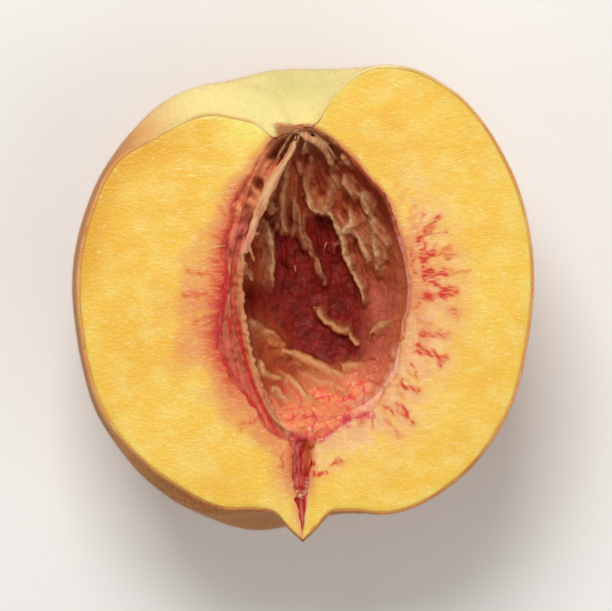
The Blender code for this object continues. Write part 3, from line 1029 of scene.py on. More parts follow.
def layered(name, base, layers, colours):
    """A material whose colours are laid on in order, each with the masks that follow it."""
    painted = Paint(name, getattr(colours, base))
    for colour, *parts in layers:
        painted.lay(getattr(colours, colour), *parts)
    return painted


FLESH_LAYERS = (
    ("flesh_deep", mottle(9.0, 0.36, 0.66, seed=1.0), 0.6),
    ("flesh_pale", mottle(3.2, 0.4, 0.66, seed=2.0, stretch=(1.15, 1.0, 1.0)), 0.5),
    ("flesh_golden", "golden", 0.85),
    ("flesh_light", "shoulder_glow", 0.85),
    ("blush", "blush", mottle(1.6, 0.0, 0.55, 5.0, 4.0)),
    ("cream", "cream", mottle(2.0, 0.2, 0.75, seed=3.0)),
    ("flesh_deep", mottle(0.8, 0.35, 0.7, 5.0, 9.0, (1.3, 1.0, 1.0)), 0.35),
    ("pads", "pads", 0.8),
    ("flesh_pale", mottle(0.9, 0.60, 0.78, 4.0, 5.0, (1.7, 0.9, 1.0)), 0.6),
    # Tiny pale flecks: partly fibre, partly painted wet glints.
    ("fleck_glint", mottle(0.45, 0.62, 0.72, 2.0, 29.0, (1.8, 0.8, 1.0)), 0.35),
    ("scarlet", "scarlet", mottle(0.7, 0.1, 0.42, 5.0, 6.0, (1.8, 0.8, 1.0))),
    ("crimson", "crimson"),
    ("magenta", "magenta"),
    ("skin_line", "skin_line"),
)
HOLLOW_LAYERS = (
    ("hollow_red", mottle(1.5, 0.3, 0.7, seed=11.0)),
    ("cell", "cell", 0.75),
    ("tan_wall", "tan_wall"),
    ("salmon", "salmon"),
    ("pink", mottle(1.0, 0.5, 0.75, 4.0, 12.0), "salmon"),
    ("low_cream", "low_cream", mottle(1.3, 0.1, 0.6, 4.0, 34.0)),
    # Small cream flecks over the salmon bed: partly pale tissue, partly painted wet highlights.
    ("low_cream", mottle(0.9, 0.55, 0.7, 4.0, 30.0), "salmon", 0.85),
    ("rosy", "rosy"),
    ("upper_wall", "upper_wall", mottle(2.2, 0.15, 0.5, seed=19.0, stretch=(0.8, 1.8, 1.0))),
    ("stem_fibre", "stem", mottle(1.0, 0.2, 0.6, seed=20.0, stretch=(0.6, 1.8, 1.0))),
    ("wall", "wall"),
    ("ridge_face", "face"),
    ("ridge_warm", "face_low"),
    ("net", "seam", mottle(2.0, 0.3, 0.6, seed=22.0)),
    ("hollow_red", "pits"),
    ("low_net", "low_seam"),
    ("low_net", mottle(1.4, 0.58, 0.68, 5.0, 31.0), "salmon", 0.65),
    ("net", vein_net(2.2, 0.045, 18.0), "netted", mottle(2.4, 0.4, 0.65, seed=21.0)),
    ("ridge_pale", "pale"),
    # Pale crest line: partly the ridges' own pale tissue, partly a painted highlight along their tops.
    ("crest", "crest"),
    # Painted wet sheen along the right rim of the hollow.
    ("lip", "lip"),
    ("low_cream", "pale_edge", mottle(0.8, 0.15, 0.75, 5.0, 35.0)),
    ("torn_pink", "torn", mottle(0.9, 0.25, 0.6, 4.0, 14.0)),
    ("torn_high", "torn_high", mottle(1.1, 0.2, 0.55, 4.0, 33.0)),
    ("strand_low", "strand_low"),
    ("torn_pink", "strand_low", "grain"),
    ("strand", "strand"),
    ("strand_grain", "strand", "grain"),
    ("strand", "serration"),
    ("cleft_deep", "cleft_deep"),
    ("cleft_orange", "cleft_orange"),
    ("cleft_fibre", "cleft_fibres"),
    ("cleft_fibre", "cleft_point"),
    ("flap", "flap", mottle(0.9, 0.2, 0.7, 4.0, 32.0)),
    ("magenta", "magenta"),
    ("red_line", "red_line"),
    ("crimson", "crimson"),
    ("strand", "edge_cream"),
    ("shred", "shreds"),
)
SKIN_LAYERS = (
    ("skin_rose", mottle(14.0, 0.35, 0.7, seed=21.0), 0.7),
    ("skin_pale", mottle(4.0, 0.4, 0.7, seed=22.0), 0.35),
    # Painted shade: the left flank, the tip end and, lightly, the whole underside are painted darker and
    # browner.
    ("painted_skin_shade", "shade", 0.9),
    ("skin_stem", "stem"),
    ("skin_green", "green", mottle(5.0, 0.0, 0.7, 1.0, 23.0)),
    ("skin_pale", mottle(0.3, 0.35, 0.7, 4.0, 26.0), 0.26),
    ("skin_speck", mottle(0.5, 0.50, 0.68, 4.0, 27.0), 0.55, "speckled"),
    ("skin_line", "edge"),
    ("stem_fibre", "torn_end"),
    ("crimson", "scar", mottle(0.8, 0.3, 0.55, seed=28.0)),
)


def flesh_material(colours):
    painted = layered("cut_flesh", "flesh", FLESH_LAYERS, colours)
    painted.roughen(mottle(1.6, seed=8.0), 0.26, 0.46)
    painted.emboss(mottle(0.5, 0.2, 0.8, 4.0, 7.0, (1.5, 0.8, 1.0)), 0.07)
    set_inputs(painted.shader, {"Subsurface Weight": 0.35, "Subsurface Radius": (1.0, 0.45, 0.12),
                                "Subsurface Scale": 0.0022, "IOR": 1.38, "Specular IOR Level": 0.5})
    return painted.material


def hollow_material(colours):
    painted = layered("stone_hollow", "hollow_dark", HOLLOW_LAYERS, colours)
    painted.roughen(mottle(0.9, seed=16.0), 0.3, 0.55)
    painted.emboss(mottle(0.45, 0.2, 0.8, 5.0, 15.0), 0.08)
    set_inputs(painted.shader, {"Subsurface Weight": 0.2, "Subsurface Radius": (1.0, 0.35, 0.15),
                                "Subsurface Scale": 0.0010, "IOR": 1.36, "Specular IOR Level": 0.22})
    return painted.material


def skin_material(colours):
    painted = layered("velvet_skin", "skin", SKIN_LAYERS, colours)
    painted.emboss(mottle(0.35, 0.2, 0.8, 3.0, 25.0), 0.05)
    set_inputs(painted.shader, {"Roughness": 0.72, "Subsurface Weight": 0.15,
                                "Subsurface Radius": (1.0, 0.4, 0.2), "Subsurface Scale": 0.0012,
                                "Sheen Weight": 0.1, "Sheen Roughness": 0.45,
                                "Sheen Tint": (1.0, 0.93, 0.82, 1.0), "Specular IOR Level": 0.3})
    return painted.material


def plain_material(name, colour, **constants):
    painted = Paint(name, colour)
    set_inputs(painted.shader, constants)
    return painted.material


# ---------------------------------------------------------------------------
# The cut flesh

def flesh_shape(count=380, rings=82, under_steps=44):
    """The cut face out to the skin, the hollow's bed below it, and the flesh under the skin."""
    swings, outer = cut_outline(count, tip_boost=7.0)
    reach, angle = polar(outer)
    inner_reach = np.minimum(flesh_rim(angle), reach - 0.12)
    direction = (outer - STONE_MIDDLE) / reach[:, None]
    points, rows = [], []

    def ring(xy, z):
        start = sum(len(p) for p in points)
        points.append(np.column_stack((xy, np.broadcast_to(z, len(xy)))))
        rows.append(np.arange(start, start + len(xy)))

    for part in np.linspace(0.12, 1.0, 12):
        xy = STONE_MIDDLE + direction * (inner_reach * part)[:, None]
        ring(xy, inside_tip(xy, -1.2 - bowl_depth(part, extra=1.8)))
    for step in np.linspace(0.0, 1.0, rings) ** 1.5:
        gap = (reach - inner_reach) * step
        xy = STONE_MIDDLE + direction * (inner_reach + gap)[:, None]
        xy[:, 0] += cleft_wander(xy) * hump(gap, 0.0, 0.9)
        ring(xy, -0.75 * np.exp(-gap / 0.22) - 0.10 * hump(reach - inner_reach - gap, 0.0, 0.3))
    faces = grid_faces(rows, wrap=True)
    centre = sum(len(p) for p in points)
    points.append(np.array([[*STONE_MIDDLE, -STONE_DEPTH - 3.0]]))
    faces += [[int(a), int(b), centre] for a, b in zip(rows[0], np.roll(rows[0], -1))]

    rim = rows[-1]
    left = rim[:count + 1]
    right = np.concatenate(([rim[0]], rim[count:][::-1]))
    columns = [left]
    for turn in np.linspace(0.0, 180.0, under_steps + 1)[1:-1]:
        start = sum(len(p) for p in points)
        points.append(rest_on_floor(fruit_point(swings[1:-1], turn, SKIN_THICKNESS), 0.2))
        columns.append(np.concatenate(([left[0]], np.arange(start, start + count - 1), [left[-1]])))
    columns.append(right)
    faces += grid_faces(columns)
    return np.concatenate(points), faces


def flesh_places(obj):
    """Where each vertex of the cut flesh lies about the hollow, the cleft and the skin."""
    points = in_fruit(obj)
    xy, x, y = points[:, :2], points[:, 0], points[:, 1]
    reach, angle = polar(xy)
    beside_cleft = np.where(x < 0, ease(x, -6.5, -1.5), ease(x, 4.0, 1.2))
    return SimpleNamespace(
        xy=xy, x=x, y=y, angle=angle, top=points[:, 2] > -0.9,
        gap=reach - round_curve(FLESH_RIM_RADII, angle), edge=edge_finder()(angle) - reach,
        rays=np.column_stack((angle * 0.33, reach * 0.3)),
        right=facing(angle, 350.0, 75.0, 40.0), left=facing(angle, 185.0, 65.0, 30.0),
        cleft_side=beside_cleft * between(y, -32.0, -25.0, -21.0, -18.0))


def flush_masks(at):
    """The pink-orange flush round the hollow and the cleft, and the red haze within it."""
    width = round_curve(BLUSH_WIDTHS, at.angle) * (1.0 + 0.16 * ripple(at.xy, 3.0, 34))
    by_cleft = 0.9 * at.cleft_side * ease(at.x, 1.5, -0.5) + 0.4 * at.cleft_side
    haze = ease(at.gap / width, 0.5, 0.0) * (0.25 + 0.75 * at.left)
    haze = np.clip(haze * (0.8 + 0.2 * ripple(at.xy * (0.4, 2.5), 0.9, 33)), 0.0, 1.0)
    return (np.maximum(ease(at.gap / width, 1.15, 0.3), by_cleft),
            np.maximum(haze, 0.6 * at.cleft_side * ease(np.abs(at.x + 0.3), 3.0, 1.4)))


def streak_masks(at, blush, scarlet):
    """Adds the red streaks, each with a halo of flush, and feathers of red along the rim."""
    grainy = 0.4 + 0.6 * patches(at.rays, 0.28, 86, high=0.4)
    wandering = at.xy + sway(at.xy, 0.9, 31, 0.18)
    for x0, y0, x1, y1, stroke, strength in STREAKS:
        near, _ = near_path(wandering, ((x0, y0), (x1, y1)))
        scarlet = np.maximum(scarlet, 1.45 * strength * hump(near, 0.0, stroke) * grainy)
        blush = np.maximum(blush, 0.8 * strength * hump(near, 0.0, 0.4 + 2.0 * stroke))
    spokes = 0.6 * ripple(at.rays, 0.5, 62) + 0.8 * ripple(at.rays, 1.3, 74)
    right_reach = 0.35 * between(at.gap, 1.2, 2.4, 3.0, 6.5)
    feather_reach = np.where(at.right > at.left, right_reach, ease(at.gap, 3.6, 0.6))
    feather = ease(spokes, 0.1, 1.3) * feather_reach * np.maximum(at.right, at.left)
    return blush, np.maximum(scarlet, feather), spokes


def torn_rim_mask(at, spokes):
    """The crimson torn edge round the hollow, and the thin line over its stem end."""
    reach_out = 0.45 + at.left * (0.3 + 0.5 * ease(np.abs(at.y + 2.5), 6.0, 2.5)) * (1.0 + 0.6 * spokes)
    band = np.maximum(facing(at.angle, 190.0, 78.0, 60.0), 0.3)
    patchy = np.maximum(ease(np.abs(at.y + 2.5), 8.0, 4.0) * (at.x < 0),
                        0.1 + 0.75 * patches(at.xy, 3.0, 70, -0.4, 0.9))
    torn = band * patchy * hump(np.maximum(at.gap, 0.0), 0.0, np.maximum(reach_out, 0.3))
    cap = facing(at.angle, 97.0, 12.0, 8.0) * ease(at.edge, 0.7, 0.2)
    return np.maximum(torn, 0.85 * cap * (0.6 + 0.4 * patches(at.xy, 0.8, 89, high=0.4)))


def skin_line_mask(at):
    """The thin line of flesh under the skin, broader beside the tip."""
    line = 0.75 * ease(at.edge, 0.26, 0.02) * patches(at.xy, 4.0, 35, -1.2, 0.6)
    by_tip = ease(at.edge + 0.12 * ripple(at.xy, 0.8, 71), 0.75, 0.45) * between(at.x, 0.6, 1.4, 2.5, 6.0)
    return np.maximum(line * (1.0 - 0.7 * ease(at.y, 22.0, 26.0)), by_tip * (at.y < -30.0))


def pads_mask(at):
    """The paler pads of flesh between the streaks."""
    pads = np.zeros(len(at.xy))
    wandering = at.xy + sway(at.xy, 1.2, 54, 0.2)
    for x0, y0, x1, y1, half in PADS:
        near, _ = near_path(wandering, ((x0, y0), (x1, y1)))
        pads = np.maximum(pads, ease(np.abs(near), half * 1.25, half * 0.5))
    return pads


def core_line(xy):
    """How strongly the dark pink line along the lower edge shows at a point."""
    gap, _ = near_path(xy + sway(xy, 1.2, 58, 0.25), CORE_LINE)
    feather = np.clip(0.9 + 0.25 * ripple(xy * (2.4, 0.7), 0.7, 60), 0, 1)
    return hump(gap, 0.0, 0.55 * (1.0 + 0.4 * ripple(xy, 1.4, 61))) * feather


def paint_flesh(obj):
    """Stores where the cut face is creamy, flushed, streaked, golden or meets the skin."""
    at = flesh_places(obj)
    blush, scarlet, spokes = streak_masks(at, *flush_masks(at))
    ring = at.right * ease(at.gap, 12.0, 5.0) * (0.15 + 0.75 * ease(at.gap, 0.6, 3.2))
    cream = np.maximum(ring, 0.98 * facing(at.angle, 300.0, 46.0, 24.0) * ease(at.gap, 8.5, 3.0))
    paint(obj,
          blush=np.clip(blush, 0, 1) * at.top,
          scarlet=np.clip(scarlet, 0, 1) * at.top,
          cream=cream * at.top,
          pads=pads_mask(at) * at.top,
          crimson=torn_rim_mask(at, spokes),
          magenta=0.9 * core_line(at.xy) * at.top,
          golden=ease(at.edge, 5.5, 0.5) * facing(at.angle, 156.0, 34.0, 14.0),
          shoulder_glow=spot(at.xy, (-8.0, 27.0), (4.5, 3.6)) * ease(at.gap, 0.5, 2.5) * at.top,
          skin_line=skin_line_mask(at),
          relief=at.top * ease(at.edge, 0.1, 0.6) * ease(at.gap, -0.1, 0.5))


def build_flesh(sizes, colours):
    obj = mesh_object("cut_flesh", *flesh_shape())
    paint_flesh(obj)
    add_tree(obj, relief_tree(), Wide_Size=6.0, Wide_Height=sizes.cut_wave / MM, Fine_Size=0.9,
             Fine_Height=sizes.cut_grain / MM, Seed=1.0, Material=flesh_material(colours))
    return belongs(settle(obj))


# ---------------------------------------------------------------------------
# The stone's hollow

def hollow_block(count=860, rings=150, under_rings=26):
    """The torn bed of the hollow as a thick closed bowl, before it is remeshed."""
    turn = np.linspace(0.0, 360.0, 7201)
    angle = spread_evenly(turn, 1.0 + 2.5 * hump(turn, 266.0, 5.0), count)[:-1]
    direction = np.column_stack((np.cos(np.radians(angle)), np.sin(np.radians(angle))))
    edge = np.minimum(round_curve(FLESH_RIM_RADII, angle) + BED_OVERLAP, edge_finder()(angle) - 0.1)
    points = []
    for part in np.linspace(0.004, 1.0, rings):
        xy = STONE_MIDDLE + direction * (edge * part)[:, None]
        points.append(np.column_stack((xy, hollow_surface(xy))))
    for part in np.linspace(1.0, 0.004, under_rings):
        xy = STONE_MIDDLE + direction * (edge * part)[:, None]
        points.append(np.column_stack((xy, inside_tip(xy, -bowl_depth(part) - BED_THICKNESS))))
    return np.concatenate(points), capped_faces(np.arange(len(points) * count).reshape(-1, count))


def tooth_shape(x0, y0, x1, y1, stand, width):
    """A free tooth: a tapering spike from the wall out to its tip."""
    root = Vector((x0, y0, float(wall_depth(np.array([[x0, y0]]))[0]) + 0.25 * stand))
    tip = Vector((x1, y1, float(wall_depth(np.array([[x1, y1]]))[0]) + stand))
    tip = root + (tip - root) * 1.25
    bend = root.lerp(tip, 0.5) + Vector((0, 0, 0.2))
    sides = 8
    points, faces = tube((root, bend, tip), 1.5 * width, sides)
    part = np.linspace(1.0, 0.3, len(points) // sides).repeat(sides)
    line = points.reshape(-1, sides, 3).mean(axis=1).repeat(sides, axis=0)
    return line + (points - line) * part[:, None], faces


def lobe_shape(x0, y0, x1, y1, stand, radius):
    """A rounded finger of flesh lying along the wall."""
    ends = np.array(((x0, y0), ((x0 + x1) / 2, (y0 + y1) / 2), (x1, y1)))
    heights = wall_depth(ends) + np.array((0.3, 0.85, 1.0)) * stand
    return tube(np.column_stack((ends, np.minimum(heights, -0.8))), radius, 12)


def join_shapes(name, shapes):
    """One object of many closed shapes."""
    points, faces, start = [], [], 0
    for shape_points, shape_faces in shapes:
        points.append(shape_points)
        faces += [[index + start for index in face] for face in shape_faces]
        start += len(shape_points)
    return mesh_object(name, np.concatenate(points), faces)


def thin_underside(obj):
    """Coarsens the buried underside of the hollow's bed, so that the piece stays light."""
    points = in_fruit(obj)
    reach, angle = polar(points[:, :2])
    part = np.clip(reach / (round_curve(FLESH_RIM_RADII, angle) + BED_OVERLAP), 0.0, 1.0)
    below = inside_tip(points[:, :2], -bowl_depth(part) - BED_THICKNESS)
    buried = obj.vertex_groups.new(name="buried")
    buried.add(np.nonzero(points[:, 2] < below + 0.4)[0].tolist(), 1.0, "REPLACE")
    thin = obj.modifiers.new("thin underside", "DECIMATE")
    thin.vertex_group = buried.name
    thin.ratio = min(1.0, 0.5 * HOLLOW_TRIANGLES / len(obj.data.polygons))
    settle(obj)
    obj.vertex_groups.clear()


def hollow_places(obj):
    """Where each vertex of the hollow lies in its bed, on its walls and beside the strand."""
    points = in_fruit(obj)
    xy, (x, y, z) = points[:, :2], points.T
    reach, angle = polar(xy)
    _, crest, face = ridge_field(xy)
    near, _, lengthwise = beside_strand(xy)
    _, banded = left_band(xy)
    dome, seam = bed_cells(xy)
    in_cleft = ease(y, -20.0, -21.8)
    return SimpleNamespace(
        xy=xy, x=x, y=y, z=z, angle=angle, crest=crest, face=face, near=near, lengthwise=lengthwise,
        banded=banded, dome=dome, seam=seam, in_cleft=in_cleft, outside_cleft=1.0 - in_cleft,
        proud=z - wall_depth(xy), depth=ease(z, -11.5, -4.0),
        inward=round_curve(FLESH_RIM_RADII, angle) - reach, wall_part=reach / stone_outline(angle),
        open_bed=(1.0 - banded) * (1.0 - in_cleft))


def paint_strand(obj, at):
    """Stores where the pale strand, its lower part, its serrated edge and the stem's fibres lie."""
    upper = ease(at.y, 5.0, 8.5)
    strand = hump(at.near, 0.0, np.where(at.near > 0, 0.75, 0.85)) * upper * ease(at.z, -2.2, -1.2)
    stem_near, _ = near_path(at.xy, STEM_STRAND)
    strand = np.maximum(strand, 0.8 * hump(stem_near, 0.0, 0.6) * ease(at.proud, 0.2, 1.0))
    for fibre in STEM_FIBRES:
        fibre_near, _ = near_path(at.xy, fibre)
        strand = np.maximum(strand, 0.7 * hump(fibre_near, 0.0, 0.22) * ease(at.proud, 0.1, 0.4))
    serration = hump(at.near, -0.02, 0.16) * (1.0 - upper) * ease(at.z, -1.9, -1.2)
    paint(obj,
          strand=np.clip(strand, 0, 1),
          strand_low=between(at.near, -0.3, 0.0, 0.7, 1.3) * (1.0 - upper) * ease(at.z, -2.2, -1.4),
          serration=0.8 * serration * patches(at.xy, 0.7, 64, -0.8, 0.6),
          grain=0.85 * ease(at.lengthwise, -0.3, 1.0))


def paint_cleft(obj, at):
    """Stores the cleft's deep red, its fibres, its orange side, its point and the shreds across it."""
    xy, x, y = at.xy, at.x, at.y
    slope = 0.5 * np.abs(x + 0.2) - 0.5
    shreds = np.maximum(0.7 * ease(np.abs(y + 28.9 - slope), 0.8, 0.2) * ease(at.z, -2.4, -1.2),
                        0.6 * ease(x, 0.0, 0.5) * ease(np.abs(y + 27.6), 1.1, 0.5))
    left_side = ease(x - 0.2 * ripple(xy * (3.0, 0.4), 0.8, 65), -0.4, -0.8) * ease(y, -28.8, -27.6)
    all_over = 0.75 * patches(xy * (3.2, 0.45), 0.9, 78, 0.5, 1.3) * ease(y, -29.0, -27.0)
    right_side = ease(x + 0.2 * ripple(xy * (2.0, 0.6), 0.8, 66), -0.15, 0.3) * ease(y, -26.6, -24.4)
    paint(obj,
          cleft_deep=at.in_cleft * ease(y, -20.3, -22.0),
          cleft_fibres=0.85 * at.in_cleft * np.maximum(left_side, all_over),
          cleft_orange=0.9 * at.in_cleft * right_side,
          cleft_point=0.9 * at.in_cleft * hump(x, -0.28 - 0.09 * (y + 31.0), 0.2) * ease(y, -29.8, -30.6),
          shreds=np.clip(at.in_cleft * shreds * patches(xy * (1.2, 2.0), 0.6, 75, -0.9, 0.5), 0, 1))


def paint_bed(obj, at):
    """Stores the bed's raised cells and seams, its pits, and its salmon and cream lower part."""
    xy, x, y = at.xy, at.x, at.y
    low = ease(y - 0.25 * np.maximum(x - 4.0, 0.0) + 0.6 * np.clip(2.5 - x, 0.0, 6.0), -8.0, -15.5)
    bed = ease(at.proud, 0.9, 0.2) * at.open_bed * ease(y, 13.0, 5.0)
    broken = patches(xy, 1.6, 52, -0.5)
    right_wall = 0.45 * ease(x, 6.5, 9.5) * between(y, -13.0, -10.0, 5.0, 9.0) * ease(at.proud, 1.4, 0.6)
    high_wall = 0.6 * between(y, 4.0, 8.0, 20.0, 23.0) * ease(at.proud, 2.0, 1.0) * (1.0 - at.banded)
    low_seam = np.maximum(at.seam, 0.6 * ease(at.proud, 0.0, -0.15)) * ease(y, -9.0, -14.0)
    tan = 0.75 * ease(x, 4.5, -2.0) * between(y, -16.0, -12.0, -4.0, 1.0) * ease(at.z, -12.3, -9.5)
    paint(obj,
          salmon=np.clip(low + 0.12 * at.depth * ease(y, 0.0, -6.0), 0, 1) * at.outside_cleft,
          cell=0.55 * bed * ease(at.dome, 0.35, 0.85),
          seam=0.5 * bed * at.seam * between(y, -15.0, -10.0, -6.0, 3.0) * broken,
          low_seam=0.95 * low_seam * (0.35 + 0.65 * broken) * at.open_bed,
          pits=np.maximum(right_wall, high_wall) * at.seam * patches(xy, 1.5, 73, high=0.5),
          netted=0.3 * ease(at.proud, 1.0, 0.2) * (1.0 - at.banded) * ease(y, -2.0, -9.0),
          tan_wall=np.maximum(tan, spot(xy, (10.6, -13.3), (1.2, 0.9))) * (1.0 - at.banded),
          low_cream=ease(x + 0.3 * (y + 14.0), 3.5, 10.0) * ease(y, -10.5, -13.0) * patches(xy, 1.8, 69)
          * at.outside_cleft)


def paint_walls(obj, at):
    """Stores the colours of the hollow's walls, from the stem end round its right side, and a painted wet
    sheen along its right edge.
    """
    xy, x, y = at.xy, at.x, at.y
    stem = ease(y, 21.5, 24.2)
    right_of, _ = near_path(xy, MAIN_RIDGE)
    right_of_left_ridge, _ = near_path(xy, LEFT_RIDGE)
    slopes = np.maximum(ease(right_of, 0.3, 1.6) * ease(y, 1.0, 6.0) * (x > 3.4),
                        ease(-right_of_left_ridge, 0.3, 1.4) * ease(y, 1.0, 5.0) * (x < -4.0))
    slopes = np.maximum(slopes, ease(y, 12.0, 16.0))
    upper_wall = np.maximum(ease(y, 2.0, 10.0) * ease(at.inward, 3.2, 0.8), 0.8 * slopes) * (1.0 - stem)
    sunken = ease(at.proud, 1.1, 0.35) * ease(at.face, 0.5, 0.1) * ease(y, 3.0, 8.0)
    # sheen_band: where a painted wet sheen, a mauve-pink stand-in for glints, is laid along the right rim.
    sheen_band = ease(np.abs(y - 5.5), 10.0, 5.0) * (x > 0) * patches(xy, 1.0, 63, high=0.6)
    ragged_edge = ease(at.inward + 0.25 * ripple(xy, 1.0, 87), 1.3, 0.6)
    paint(obj,
          stem=stem * (0.9 - 0.35 * sunken),
          upper_wall=upper_wall * (1.0 - 0.62 * sunken),
          wall=0.85 * ease(at.wall_part, 0.84, 0.97) * facing(at.angle, 345.0, 62.0, 40.0),
          rosy=0.75 * ease(x, 8.0, 12.0) * between(y, -16.0, -8.0, 0.0, 7.0) * (1.0 - 0.4 * at.depth),
          lip=0.7 * ease(at.inward, 0.7, 0.1) * sheen_band,
          pale_edge=ragged_edge * between(y, -17.5, -15.0, -8.0, -5.5) * ease(x, 5.0, 8.0))


def paint_ridges(obj, at):
    """Stores the ridges' pale crests and faces, warmer towards the tip, and the lobes'; the crests are partly
    a painted highlight, and crests and pale tops get painted shade deeper in the hollow.
    """
    fitful = (0.5 + 0.5 * ease(at.y, -5.0, 2.0)) * (0.55 + 0.45 * patches(at.xy, 1.6, 88, -0.8))
    ridged = at.face * ease(at.proud, 0.05, 0.6) * at.outside_cleft
    lobed = ease(at.proud, 0.9, 1.5) * (1.0 - ease(at.face, 0.1, 0.4)) * at.open_bed
    warm = ease(at.y, -2.0, -8.0)
    # deep_shade: painted shade, crests and pale tops painted duller the deeper they lie in the hollow.
    deep_shade = 0.5 + 0.5 * at.depth
    paint(obj,
          # crest: partly the ridge's own pale tissue, partly a painted highlight along its top.
          crest=np.clip(at.crest * ease(at.proud, 0.5, 1.3), 0, 1) * deep_shade * fitful * at.outside_cleft,
          face=np.clip(1.3 * ridged + 0.7 * lobed, 0, 1) * (1.0 - warm),
          face_low=np.clip(1.2 * ridged + 0.7 * lobed, 0, 1) * warm,
          pale=np.maximum(ease(at.face, 0.45, 0.95) * ridged, 0.6 * lobed) * deep_shade)


def paint_torn_edge(obj, at):
    """Stores the torn membrane between the strand and the rim, and the rim's red and cream lines."""
    xy, y = at.xy, at.y
    left = facing(at.angle, 190.0, 85.0, 60.0)
    red_line = hump(at.near, 1.35, 0.3) * between(y, -20.5, -19.0, -6.0, 0.0)
    lines = np.maximum(red_line, 0.6 * ease(at.lengthwise, 0.5, 1.3) * ease(at.near, 0.6, 1.2))
    knobbly = 0.35 + 0.65 * patches(xy, 1.3, 81, -0.8, 0.6)
    beside_upper = between(y, 8.5, 10.5, 21.5, 24.5) * ease(at.near, 0.3, 0.9)
    middle_height = ease(np.abs(y), 9.0, 5.0)
    patchy = 0.35 + 0.65 * patches(xy, 2.6, 67, -0.6, 0.7)
    _, cleft_across = cleft_depth(xy)
    cleft_edge = at.in_cleft * ease(cleft_across, 0.72, 1.0) * ease(y, -23.5, -26.5)
    edge = ease(at.inward, 0.75, 0.0) * at.outside_cleft + cleft_edge
    paint(obj,
          magenta=np.clip(0.9 * core_line(xy), 0, 1),
          red_line=np.clip(at.banded * lines, 0, 1) * ease(at.z, -2.6, -1.6),
          torn=np.clip(at.banded * ease(at.near, 0.2, 0.9) * ease(at.z, -2.4, -1.2), 0, 1),
          torn_high=knobbly * beside_upper * ease(at.z, -3.0, -1.4),
          flap=0.9 * spot(xy, (-9.1, 10.4), (1.7, 2.2)) * ease(at.z, -3.0, -1.2),
          crimson=edge * np.maximum(left * patchy * (0.75 + 0.25 * ease(y, 12.0, 7.0)), at.in_cleft),
          edge_cream=0.6 * left * hump(at.inward, 0.55, 0.1) * patches(xy, 2.2, 68) * middle_height)


def build_hollow(sizes, colours):
    shapes = [hollow_block()]
    shapes += [tooth_shape(*tooth) for tooth in TEETH]
    shapes += [lobe_shape(*lobe) for lobe in LOBES]
    shapes.append(tube(UPPER_STRAND, 1.0, 16, flat=0.6, swell=STRAND_SWELL))
    shapes += [tube(fibre, 0.17) for fibre in CLEFT_FIBRES]
    shapes.append(tube(STEM_STRAND, 0.55, 10))
    shapes += [tube(fibre, 0.24) for fibre in STEM_FIBRES]
    shapes += [tube(spike, 0.3) for spike in SPIKES]
    obj = join_shapes("stone_hollow", shapes)
    remesh = obj.modifiers.new("skin over", "REMESH")
    remesh.mode = "VOXEL"
    remesh.voxel_size = sizes.hollow_grain
    remesh.use_smooth_shade = True
    smooth = obj.modifiers.new("soften", "SMOOTH")
    smooth.factor = 0.5
    smooth.iterations = 1
    thin_underside(settle(obj))
    at = hollow_places(obj)
    for paint_part in (paint_strand, paint_cleft, paint_bed, paint_walls, paint_ridges, paint_torn_edge):
        paint_part(obj, at)
    paint(obj, relief=ease(at.proud, -1.2, -0.4) * (1.0 - 0.6 * ease(at.proud, 0.25, 1.3)))
    add_tree(obj, relief_tree(), Wide_Size=1.3, Wide_Height=0.16, Fine_Size=0.5, Fine_Height=0.08, Seed=2.0,
             Material=hollow_material(colours))
    return belongs(settle(obj))


# ---------------------------------------------------------------------------
# The skin and its down

def skin_shape(count=250, turns=150):
    """The skin as a thin closed shell, its cut edge level with the cut face."""
    swing, turn = np.meshgrid(even_swings(count), np.linspace(0.0, 180.0, turns + 1), indexing="ij")
    shells = [rest_on_floor(fruit_point(swing, turn, depth), 0.5 * depth).reshape(-1, 3)
              for depth in (0.0, SKIN_THICKNESS + 0.12)]
    outer = np.arange(swing.size).reshape(swing.shape)
    inner = outer + swing.size
    faces = grid_faces(outer) + grid_faces(inner)
    for column in (0, -1):
        faces += grid_faces(np.stack((outer[:, column], inner[:, column])))
    return np.concatenate(shells), faces


